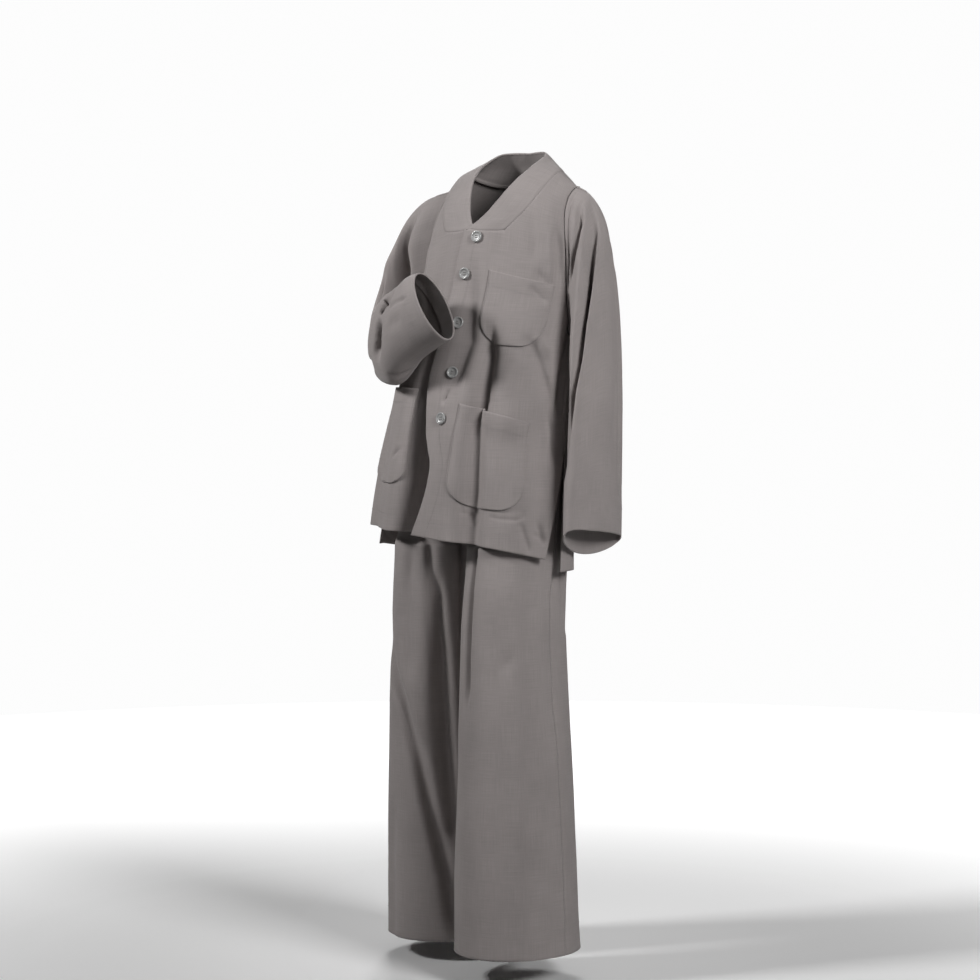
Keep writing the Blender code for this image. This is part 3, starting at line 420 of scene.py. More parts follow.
def addTone(tree, place, label, low, high, factor):
    # a colour between two, by a mask
    return addNode(tree, "ShaderNodeMix", place, {"A": (*low, 1.0), "B": (*high, 1.0), "Factor": factor},
                   data_type="RGBA", label=label).outputs["Result"]


def buildCloth(settings):
    made, tree, shader = newMaterial("greyCloth")
    flat = addNode(tree, "ShaderNodeUVMap", (-1100, -100), uv_map="flatCloth")
    place = addNode(tree, "ShaderNodeTexCoord", (-1100, 300))
    weave = addNode(tree, "ShaderNodeGroup", (-820, -100), {
        "Vector": flat.outputs["UV"], "Thread Spacing": settings["thread"],
        "Unevenness": settings["unevenness"]}, node_tree=buildWeaveGroup(), label="weave")
    mottle = addNode(tree, "ShaderNodeGroup", (-820, 300), {
        "Vector": place.outputs["Object"], "Cloud Size": settings["mottle"]},
        node_tree=buildMottleGroup(), label="mottle")
    tone = addTone(tree, (-540, 260), "cloudy dye", settings["shadeColour"], settings["colour"],
                   mottle.outputs["Mask"])
    level = addMath(tree, "MULTIPLY_ADD", (-540, 20), "thread tone", weave.outputs["Tone"],
                    settings["threadTone"], 1.0)
    shade = addNode(tree, "ShaderNodeVectorMath", (-300, 160), {0: tone, "Scale": level}, operation="SCALE",
                    label="shade threads")
    bump = addNode(tree, "ShaderNodeBump", (-300, -200), {
        "Strength": settings["weaveStrength"], "Distance": settings["weaveDepth"],
        "Height": weave.outputs["Height"]}, label="weave relief")
    feed(tree, shader, {
        "Base Color": shade.outputs[0], "Normal": bump.outputs["Normal"], "Roughness": settings["roughness"],
        "Specular IOR Level": settings["gloss"], "Sheen Weight": settings["sheen"],
        "Sheen Roughness": settings["sheenRoughness"]})
    return made


def buildThread(settings):
    made, tree, shader = newMaterial("sewingThread")
    place = addNode(tree, "ShaderNodeTexCoord", (-900, 0))
    grain = addNode(tree, "ShaderNodeTexNoise", (-700, 0), {
        "Vector": place.outputs["Object"], "Scale": settings["fibres"]}, label="twisted fibres")
    shade = [c * settings["shade"] for c in settings["colour"]]
    feed(tree, shader, {
        "Base Color": addTone(tree, (-450, 0), "fibre tone", shade, settings["colour"], grain.outputs["Fac"]),
        "Roughness": settings["roughness"], "Sheen Weight": settings["sheen"]})
    return made


def buildPearl(settings):
    made, tree, shader = newMaterial("greyPearl")
    place = addNode(tree, "ShaderNodeTexCoord", (-1000, 0))
    shells = addNode(tree, "ShaderNodeTexNoise", (-780, 0), {
        "Vector": place.outputs["Object"], "Scale": settings["grain"], "Distortion": settings["swirl"]},
        label="pearl clouds").outputs["Fac"]
    smooth, dull = settings["roughness"]
    polish = addNode(tree, "ShaderNodeMapRange", (-520, -240), {
        "Value": shells, "To Min": smooth, "To Max": dull}, label="polish")
    feed(tree, shader, {
        "Base Color": addTone(tree, (-520, 0), "pearl tone", settings["edgeColour"], settings["colour"],
                              shells),
        "Roughness": polish.outputs["Result"], "Coat Weight": settings["coat"],
        "Coat Roughness": settings["coatRoughness"]})
    return made


greyCloth = buildCloth(cloth)
sewingThread = buildThread(threads)
greyPearl = buildPearl(pearl)
print("materials made")


def finishPiece(piece, slotName, *nodes):
    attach(piece, "root")
    if nodes:
        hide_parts(*nodes)
    return piece


def tuckedUnder(points, normals, flat, turned, edge, where):
    # a narrow seam allowance beyond one edge of a grid, which lies under the next piece
    axis = 0 if edge in ("bottom", "top") else 1
    near, next_ = (0, 1) if edge in ("bottom", "first") else (-1, -2)
    line, inner = np.take(points, near, axis), np.take(points, next_, axis)
    across = np.take(normals, near, axis)
    beyond = line + unit(line - inner) * cloth["allowance"] - across * cloth["tuck"]
    if where is not None:
        beyond = np.where(where[:, None], beyond, np.nan)
    end = np.take(flat, near, axis)
    step = end - np.take(flat, next_, axis)
    place = end + step / np.maximum(np.linalg.norm(step, axis=-1, keepdims=True), 1e-9) * cloth["allowance"]
    grids = ((points, beyond), (normals, across), (flat, place), (turned, 0 * np.take(turned, near, axis)))
    out = []
    for grid, extra in grids:
        pair = (np.expand_dims(extra, axis), grid)
        out.append(np.concatenate(pair if near == 0 else pair[::-1], axis=axis))
    return out


def makeSheet(name, points, normals, flat, turned, closed=False, thickness=cloth["thickness"], tucks=()):
    # a grid of points as one sheet of cloth: flat holds each point's place on the flat cloth,
    # and turned is 1 where the cloth is doubled, as in a hem
    for edge, where in tucks:
        points, normals, flat, turned = tuckedUnder(points, normals, flat, turned, edge, where)
    rows, columns = points.shape[:2]
    present = ~np.isnan(points[..., 0])
    index = np.full((rows, columns), -1)
    index[present] = np.arange(present.sum())
    across = columns if closed else columns - 1
    low = [(r, c) for r in range(rows - 1) for c in range(across)
           if present[r, c] and present[r, (c + 1) % columns] and present[r + 1, c]
           and present[r + 1, (c + 1) % columns]]
    lowRow = np.array([r for r, _ in low])
    lowColumn = np.array([c for _, c in low])
    nextColumn = (lowColumn + 1) % columns
    corners = [(lowRow, lowColumn, lowColumn), (lowRow, nextColumn, lowColumn + 1),
               (lowRow + 1, nextColumn, lowColumn + 1), (lowRow + 1, lowColumn, lowColumn)]
    a = points[lowRow, nextColumn] - points[lowRow, lowColumn]
    b = points[lowRow + 1, lowColumn] - points[lowRow, lowColumn]
    if np.nanmean(np.sum(np.cross(a, b) * normals[lowRow, lowColumn], axis=1)) < 0:
        corners = corners[::-1]
    faces = np.stack([index[r, c] for r, c, _ in corners], axis=1)
    places = points[present] - np.array([0, 0, heldHeight])
    mesh = bpy.data.meshes.new(name)
    mesh.from_pydata(places.tolist(), [], faces.tolist())
    layer = mesh.uv_layers.new(name="flatCloth")
    coordinates = np.stack([flat[r, u] for r, _, u in corners], axis=1)
    layer.data.foreach_set("uv", coordinates.reshape(-1).astype(np.float32))
    piece = addObject(name, mesh)
    group = piece.vertex_groups.new(name="turned")
    weights = np.clip(turned[present], 0, 1)
    for weight in np.unique(np.round(weights, 2)):
        group.add(np.nonzero(np.round(weights, 2) == weight)[0].tolist(), float(weight), "REPLACE")
    mesh.materials.append(greyCloth)
    mesh.shade_smooth()
    solid = piece.modifiers.new("clothThickness", "SOLIDIFY")
    solid.thickness = thickness
    solid.offset = -1.0
    solid.use_quality_normals = True
    solid.vertex_group = "turned"
    solid.thickness_vertex_group = cloth["singleShare"]
    return piece


stitchedLines = {"jacket": [], "trousers": []}  # lines of points and normals, sewn last


def sew(part, points, normals, *lines):
    # each line: an edge of the grid, its distance from there, and the rows or columns that it keeps
    for line in lines:
        stitchedLines[part].append(lineAt(points, normals, *line))


# ---- the jacket's body

body = {
    "form": {
        "level": (0.7, 0.8, 0.9, 1.0, 1.095, 1.2, 1.262, 1.291, 1.318, 1.344, 1.354, 1.358),
        "halfWidth": (0.205, 0.197, 0.186, 0.174, 0.166, 0.163, 0.159, 0.155, 0.15, 0.145, 0.143,
                      0.142),
        "frontDepth": (0.13, 0.132, 0.134, 0.134, 0.134, 0.126, 0.115, 0.1, 0.076, 0.042, 0.022,
                       0.0001),
        "backDepth": (0.142, 0.142, 0.14, 0.132, 0.12, 0.106, 0.096, 0.085, 0.067, 0.038, 0.02,
                      0.0001),
        "centreX": (-0.02, -0.017, -0.012, -0.006, 0.003, 0.01, 0.012, 0.012, 0.012, 0.012, 0.012, 0.012),
        "sideY": (-0.067, -0.06, -0.05, -0.035, -0.013, 0.006, 0.01, 0.01, 0.01, 0.011, 0.012, 0.012),
        "rise": (0, 0, 0, 0, 0, 0.012, 0.034, 0.055, 0.08, 0.102, 0.11, 0.1136),
    },
    "stepLevel": 1.262,         # the collar's lower end
    "underarmLevel": 1.095,
    "ventLevel": 0.9,         # top of the side vents
    "vents": {"left": (18.0, -5.0), "right": (7.0, -5.5)},  # how far front and back turn away at their foot
    "hemLevel": 0.7,          # nominal level that each hem is shifted from
    "backNeckLevel": 1.304,
    "upperLevels": (1.262, 1.277, 1.291, 1.304, 1.318, 1.331, 1.344, 1.354, 1.358),
    "neck": {
        "level": (1.262, 1.277, 1.291, 1.304, 1.318, 1.331, 1.344, 1.354, 1.358),
        "frontAngle": (24.3, 30.0, 35.0, 38.7, 42.0, 44.8, 46.9, 48.2, 48.9),
        "backAngle": (0, 0, 0, 0, 22.3, 33.4, 41.3, 46.0, 48.9),
    },
    "roundNeck": (1.304, 1.318, 22.3),    # levels and angle of the back neckline's round lowest part
    "stepDip": 0.0075,          # how much lower the collar's lower end lies at the centre front
    "dipStart": 1.227,
    "armhole": {
        "level": (1.095, 1.12, 1.16, 1.21, 1.262, 1.304, 1.331, 1.354, 1.358),
        "spread": (0.4, 9.0, 16.0, 20.0, 22.0, 23.0, 21.0, 12.0, 2.0),
    },
    "frontHem": {"angle": (-84.0, -25.0, -5.0, 32.0, 72.0), "height": (0.77, 0.764, 0.758, 0.744, 0.722)},
    "backHem": {"angle": (90.0, 140.0, 180.0, 225.0, 270.0), "height": (0.7, 0.7, 0.704, 0.714, 0.73)},
    "placket": {
        "level": (0.7, 0.762, 0.83, 0.875, 0.94, 1.02, 1.1, 1.2, 1.262),
        "overEdge": (-0.05, -0.031, -0.016, -0.012, -0.027, -0.033, -0.022, -0.009, 0.002),
        "underEdge": (0.004, 0.01, 0.018, 0.024, 0.026, 0.028, 0.032, 0.035, 0.04),
    },
    "foldFade": 0.14,
    "folds": {                  # top, bottom, angles, widths, depth
        "left": (
            (1.08, 0.6, 40.0, 47.0, 0.022, 0.03, 0.006),
            (1.08, 0.6, 14.0, 15.0, 0.018, 0.024, 0.005),
        ),
        "right": (
            (1.06, 0.6, -23.0, -29.0, 0.02, 0.026, 0.008),
            (1.0, 0.6, -60.0, -62.0, 0.022, 0.03, 0.006),
        ),
        "back": (
            (1.28, 0.6, 124.0, 120.0, 0.02, 0.026, -0.012),
            (1.2, 0.6, 148.0, 144.0, 0.024, 0.03, 0.008),
            (1.15, 0.6, 172.0, 168.0, 0.018, 0.026, -0.009),
            (1.2, 0.6, -158.0, -160.0, 0.024, 0.03, 0.007),
            (1.28, 0.6, -128.0, -132.0, 0.02, 0.028, -0.013),
            (1.0, 0.6, -108.0, -110.0, 0.02, 0.026, 0.005),
        ),
    },
    "lapCreases": (             # in both fronts where one lies on the other
        (((4, 1.23), (9, 1.15), (13, 1.09), (10, 1.03), (6, 0.97)), 0.02, -0.011, 0.08, 0.35),
        (((3.5, 0.982), (6, 1.012)), 0.0042, -0.0046, 0.01),
    ),
    "creases": {                # path of (angle, level), width, depth, end fade, sharper side
        "left": (
            (((24, 1.15), (28.5, 1.06), (30, 0.99), (27.5, 0.955), (28, 0.886), (28.3, 0.838), (27, 0.796),
              (24, 0.6)), 0.0165, -0.018, 0.09, 0.3),
            (((26, 1.12), (29, 1.06), (30, 0.99), (28, 0.93)), 0.01, -0.008, 0.05, 0.35),
            (((17, 0.98), (18, 0.88), (16, 0.8)), 0.018, 0.004, 0.06),
            (((47, 1.212), (62, 1.178)), 0.006, -0.003, 0.02),
            (((44, 1.186), (59.5, 1.153)), 0.006, -0.0028, 0.02),
            (((46, 1.112), (62.5, 1.054), (73.5, 0.997), (81, 0.92)), 0.011, -0.0065, 0.05, 0.3),
            (((86, 1.16), (84, 1.06), (83, 0.96), (80, 0.86)), 0.016, -0.012, 0.06),
            (((54, 1.105), (72, 1.062)), 0.008, 0.0034, 0.03),
            (((38, 1.06), (44, 0.99)), 0.016, 0.003, 0.03),
            (((61, 1.29), (64, 1.235), (66.5, 1.18)), 0.009, -0.005, 0.04),
            (((55, 1.285), (57, 1.23), (62, 1.185)), 0.01, 0.0026, 0.03),
            (((40, 1.3), (46, 1.252), (45, 1.215)), 0.012, -0.0022, 0.03),
            (((19.5, 0.821), (20, 0.801), (26, 0.795), (28, 0.796)), 0.0024, -0.002, 0.006),
            (((36, 0.796), (42, 0.792), (52, 0.79), (56, 0.794), (56.5, 0.808)), 0.0024, -0.002, 0.006),
            (((54, 0.79), (61.5, 0.73)), 0.006, -0.0042, 0.02),
            (((65, 0.792), (72, 0.745)), 0.006, -0.0034, 0.02),
            (((61, 0.77), (74, 0.75)), 0.005, -0.0034, 0.015),
            (((23, 0.81), (27, 0.772)), 0.004, -0.0028, 0.012),
            (((32, 0.812), (29, 0.775)), 0.004, -0.0026, 0.012),
            (((66, 0.99), (70, 0.86), (66, 0.72)), 0.018, -0.006, 0.06),
            (((40, 0.95), (44, 0.86), (42, 0.76)), 0.02, -0.0035, 0.05),
        ),
        "right": (
            (((-8.5, 1.13), (-9.5, 1.02), (-10, 0.92), (-11, 0.84), (-15.5, 0.72), (-17, 0.5)), 0.025, -0.05, 0.12,
             -0.35),
            (((-31, 0.886), (-20.5, 0.911)), 0.005, -0.004, 0.02),
            (((-46, 1.332), (-50, 1.304), (-53, 1.262)), 0.006, -0.016, 0.025, 0.3),
            (((-55, 1.336), (-60, 1.31), (-64, 1.272)), 0.006, -0.015, 0.02, 0.3),
            (((-51, 1.33), (-56, 1.3)), 0.007, 0.0028, 0.02),
            (((-56, 1.27), (-58, 1.24), (-57, 1.17)), 0.006, 0.003, 0.03),
            (((-20, 1.2), (-35, 1.12), (-45, 1.03)), 0.02, -0.009, 0.05),
            (((-68, 1.15), (-44, 1.1)), 0.01, -0.006, 0.03),
            (((-48, 0.98), (-52, 0.84), (-50, 0.7)), 0.02, -0.006, 0.06),
        ),
        "back": (
            (((118, 1.29), (134, 1.2), (142, 1.08)), 0.013, -0.008, 0.05, 0.3),
            (((-116, 1.28), (-137, 1.18), (-146, 1.07)), 0.014, -0.009, 0.05, -0.3),
            (((148, 1.262), (178, 1.24), (-152, 1.254)), 0.016, 0.004, 0.05),
            (((144, 1.236), (176, 1.214), (-156, 1.228)), 0.012, -0.0038, 0.05),
            (((165, 0.92), (173, 0.68)), 0.015, -0.009, 0.06, 0.3),
            (((-140, 0.96), (-149, 0.7)), 0.014, -0.0095, 0.06, -0.3),
            (((128, 1.02), (134, 0.88), (131, 0.7)), 0.014, -0.0085, 0.07, 0.3),
            (((-172, 1.1), (-166, 0.98), (-170, 0.84)), 0.016, -0.006, 0.06),
            (((108, 1.0), (128, 0.985), (147, 0.996)), 0.008, -0.0042, 0.03),
            (((-106, 0.98), (-126, 0.962), (-142, 0.967)), 0.008, -0.0042, 0.03),
            (((112, 0.972), (134, 0.955)), 0.007, -0.0034, 0.02),
        ),
    },
    "radius": 0.165,
    "lumps": ((0.11, 0.0016), (0.045, 0.00045), (0.018, 0.00012)),   # size and height of the uneven cloth
    "seamWidth": 0.0016,
    "seamDepth": 0.0009,
    "lumpStretch": 0.7,         # of the lumps' height to their width
    "seed": 11,
    "probe": (0.4, 0.0025),     # degrees and metres to the points beside one that its normal is taken from
    "sideGap": 0.0008,
    "shoulderGap": 0.0006,
    "neckRadius": 0.15,
    "leastDepth": 0.03,         # the flattest form that a fold's direction is taken from
    "lapLift": 0.003,
    "lapFade": (14.0, 24.0),
    "hemWidth": 0.028,
    "placketWidth": 0.03,
    "ventWidth": 0.016,
    "ventStart": 6,             # rows above the hem where a vent's stitching starts
    "seamGap": 0.0004,
    "lapColumns": 34,
    "sideColumns": 56,
    "backColumns": 76,
    "tipColumns": 8,            # columns by the shoulder's tip that have no seam allowance
    "lowerRows": 156,
    "upperRows": 40,
}
body["perDegree"] = math.radians(1.0) * body["radius"]


def bodyForm(panel):
    form, folds = body["form"], body["folds"][panel]

    def place(angle, level):
        turn = np.radians(angle)
        halfWidth = tableAt(form, "halfWidth", level)
        ahead = np.cos(turn) > 0
        depth = np.where(ahead, tableAt(form, "frontDepth", level), tableAt(form, "backDepth", level))
        x, y = halfWidth * np.sin(turn), -depth * np.cos(turn)
        out = unit(np.stack([x / halfWidth**2, y / np.maximum(depth, body["leastDepth"])**2, 0 * x], axis=-1))
        climb = tableAt(form, "rise", level) * (1 - np.abs(np.sin(turn)))
        offset = longFolds(folds, angle, level, (halfWidth + depth) / 2, body["foldFade"])
        rows = body["creases"][panel] + (() if panel == "back" else body["lapCreases"])
        offset = offset + creases(rows, angle, level, body["perDegree"], 1.0)
        offset = addLumps(offset, body["lumps"], turnBetween(angle, 0.0) * body["perDegree"],
                          level * body["lumpStretch"], body["seed"])
        middle = np.stack([tableAt(form, "centreX", level) + x, tableAt(form, "sideY", level) + y,
                           level + climb], axis=-1)
        return middle + out * offset[..., None]

    return place


def bodyPoints(panel, angle, level, lift):
    return raised(bodyForm(panel), angle, level, lift, *body["probe"])


def hemShift(level, angle, front):
    share = np.maximum(body["ventLevel"] - level, 0) / (body["ventLevel"] - body["hemLevel"])
    edge, turn = ("frontHem", angle) if front else ("backHem", angle % 360.0)
    hem = tableAt(body[edge], "height", turn)
    return np.where(share > 0, body["ventLevel"] - share * (body["ventLevel"] - hem), level)


def sideAngle(level, side, front):
    closed = np.degrees(body["sideGap"] / 2 / tableAt(body["form"], "halfWidth", level))
    spread = np.where(level > body["underarmLevel"], tableAt(body["armhole"], "spread", level), closed)
    wide = body["vents"]["left" if side > 0 else "right"][0 if front else 1]
    spread = spread + wide * np.maximum(body["ventLevel"] - level, 0) / (body["ventLevel"] - body["hemLevel"])
    return 90 - spread if front else 90 + spread


def angleOfX(x, level):
    share = (x - tableAt(body["form"], "centreX", level)) / tableAt(body["form"], "halfWidth", level)
    return np.degrees(np.arcsin(np.clip(share, -1, 1)))


def backNeckAngle(level):
    low, high, angle = body["roundNeck"]
    share = np.clip((level - low) / (high - low), 0, 1)
    return np.where(level < high, angle * np.sqrt(share), tableAt(body["neck"], "backAngle", level))


def stepDip(angle):
    # how far the seam under the collar is lowered towards the centre front
    share = np.abs(angle) / float(tableAt(body["neck"], "frontAngle", body["stepLevel"]))
    return body["stepDip"] * np.maximum(1 - share**2, 0)


def lapLift(angle):
    start, end = body["lapFade"]
    return body["lapLift"] * (1 - ease((angle - start) / (end - start)))


def bodyLevels():
    lower = np.linspace(body["hemLevel"], body["stepLevel"], body["lowerRows"])
    steps = np.linspace(0, len(body["upperLevels"]) - 1, body["upperRows"])[1:]
    upper = np.interp(steps, range(len(body["upperLevels"])), body["upperLevels"])
    return np.concatenate([lower, upper])


def seamRoll(distance):
    return -body["seamDepth"] * np.exp(-(distance / body["seamWidth"])**2)


def ventRows(levels):
    return slice(body["ventStart"], int(np.searchsorted(levels, body["ventLevel"])))


def buildFront(side):
    panel = "left" if side > 0 else "right"
    levels, step, lap = bodyLevels(), body["lowerRows"] - 1, body["lapColumns"]
    angles = np.zeros((len(levels), lap + body["sideColumns"] + 1))
    for r, level in enumerate(levels):
        outer = float(sideAngle(level, side, True))
        foot = float(tableAt(body["neck"], "frontAngle", max(level, body["stepLevel"])))
        edge = float(angleOfX(tableAt(body["placket"], "overEdge" if side > 0 else "underEdge", level),
                              level))
        angles[r, :lap] = np.linspace(edge * side, foot, lap + 1)[:-1]
        angles[r, lap:] = np.linspace(foot, outer, body["sideColumns"] + 1)
        if r >= step:
            angles[r, lap] += math.degrees(body["seamGap"] / 2 / body["neckRadius"])
    signed = angles * side
    shown = hemShift(levels[:, None] + 0 * angles, signed, True)
    near = (shown - body["dipStart"]) / (body["stepLevel"] - body["dipStart"])
    shown = shown - stepDip(signed) * np.where((near > 0) & (near < 1.001), near, 0)
    lift = lapLift(angles) if side > 0 else np.zeros_like(angles)
    points, normals = bodyPoints(panel, signed, shown, lift)
    outer, inner, bottom = runBack(points, 1), runAlong(points, 1), runAlong(points, 0)
    seamRows = levels[:, None] >= body["ventLevel"]
    lift = lift + np.where(seamRows, seamRoll(outer), 0)
    neckRows = levels[:, None] >= body["stepLevel"]
    fromNeck = runAlong(points[:, lap:], 1)
    lift[:, lap:] += np.where(neckRows, seamRoll(fromNeck), 0)
    lift = lift + np.where(neckRows, seamRoll(runBack(points, 0)), 0)
    points, normals = bodyPoints(panel, signed, shown, lift)
    points[step + 1:, :lap] = np.nan
    points[-1, :, 1] -= body["shoulderGap"]
    turned = np.maximum.reduce([
        (bottom < body["hemWidth"]).astype(float),
        ((inner < body["placketWidth"]) & (levels[:, None] <= body["stepLevel"])).astype(float),
        ((outer < body["ventWidth"]) & ~seamRows).astype(float)])
    flat = np.stack([signed * body["perDegree"], shown], axis=-1)
    ridge = np.arange(angles.shape[1]) < angles.shape[1] - body["tipColumns"]
    piece = makeSheet("front" + panel.capitalize(), points, normals, flat, turned, tucks=(("top", ridge),))
    finishPiece(piece, "cloth", "front_" + panel)
    sew("jacket", points, normals, ("bottom", body["hemWidth"]))
    sew("jacket", points[:step], normals[:step], ("first", body["placketWidth"]))
    sew("jacket", points, normals, ("last", body["ventWidth"], ventRows(levels)))
    return points, piece


def buildBack():
    levels = bodyLevels()
    halves, halfNormals = [], []
    for side in (1, -1):
        outer = sideAngle(levels, side, False)
        inner = 180 - backNeckAngle(levels)
        share = np.linspace(0, 1, body["backColumns"] + 1)
        angles = outer[:, None] + (inner - outer)[:, None] * share
        signed = angles * side
        shown = hemShift(levels[:, None] + 0 * angles, signed, False)
        points, normals = bodyPoints("back", signed, shown, 0 * angles)
        fromSide = runAlong(points, 1)
        seamRows = levels[:, None] >= body["ventLevel"]
        lift = np.where(seamRows, seamRoll(fromSide), 0)
        neckRows = levels[:, None] >= body["backNeckLevel"]
        lift = lift + np.where(neckRows, seamRoll(runBack(points, 1)) + seamRoll(runBack(points, 0)), 0)
        points, normals = bodyPoints("back", signed, shown, lift)
        points[-1, :, 1] += body["shoulderGap"]
        halves.append(points)
        halfNormals.append(normals)
    neckOpen = levels > body["backNeckLevel"]
    first, second = halves[0], halves[1][:, ::-1]
    middle = (first[:, -1:] + second[:, :1]) / 2
    middle[neckOpen] = np.nan
    points = np.concatenate([first[:, :-1], middle, second[:, 1:]], axis=1)
    normals = np.concatenate([halfNormals[0], halfNormals[1][:, ::-1][:, 1:]], axis=1)
    bottom, fromLeft, fromRight = runAlong(points, 0), runAlong(points, 1), runBack(points, 1)
    vents = levels[:, None] < body["ventLevel"]
    turned = np.maximum.reduce([
        (bottom < body["hemWidth"]).astype(float),
        ((fromLeft < body["ventWidth"]) & vents).astype(float),
        ((fromRight < body["ventWidth"]) & vents).astype(float)])
    across = np.linspace(90, 270, points.shape[1])[None, :] * body["perDegree"] + np.zeros(points.shape[:2])
    flat = np.stack([across, levels[:, None] + np.zeros(points.shape[:2])], axis=-1)
    sewn = (levels >= body["ventLevel"]) & (levels <= body["underarmLevel"])
    piece = makeSheet("backPanel", points, normals, flat, turned, tucks=(("first", sewn), ("last", sewn)))
    finishPiece(piece, "cloth", "back")
    rows = ventRows(levels)
    sew("jacket", points, normals, ("bottom", body["hemWidth"]), ("first", body["ventWidth"], rows),
        ("last", body["ventWidth"], rows))
    return points, piece


leftPoints, frontLeft = buildFront(1)
rightPoints, frontRight = buildFront(-1)
backPoints, backPiece = buildBack()
print("fronts and back made")

# ---- the sleeves

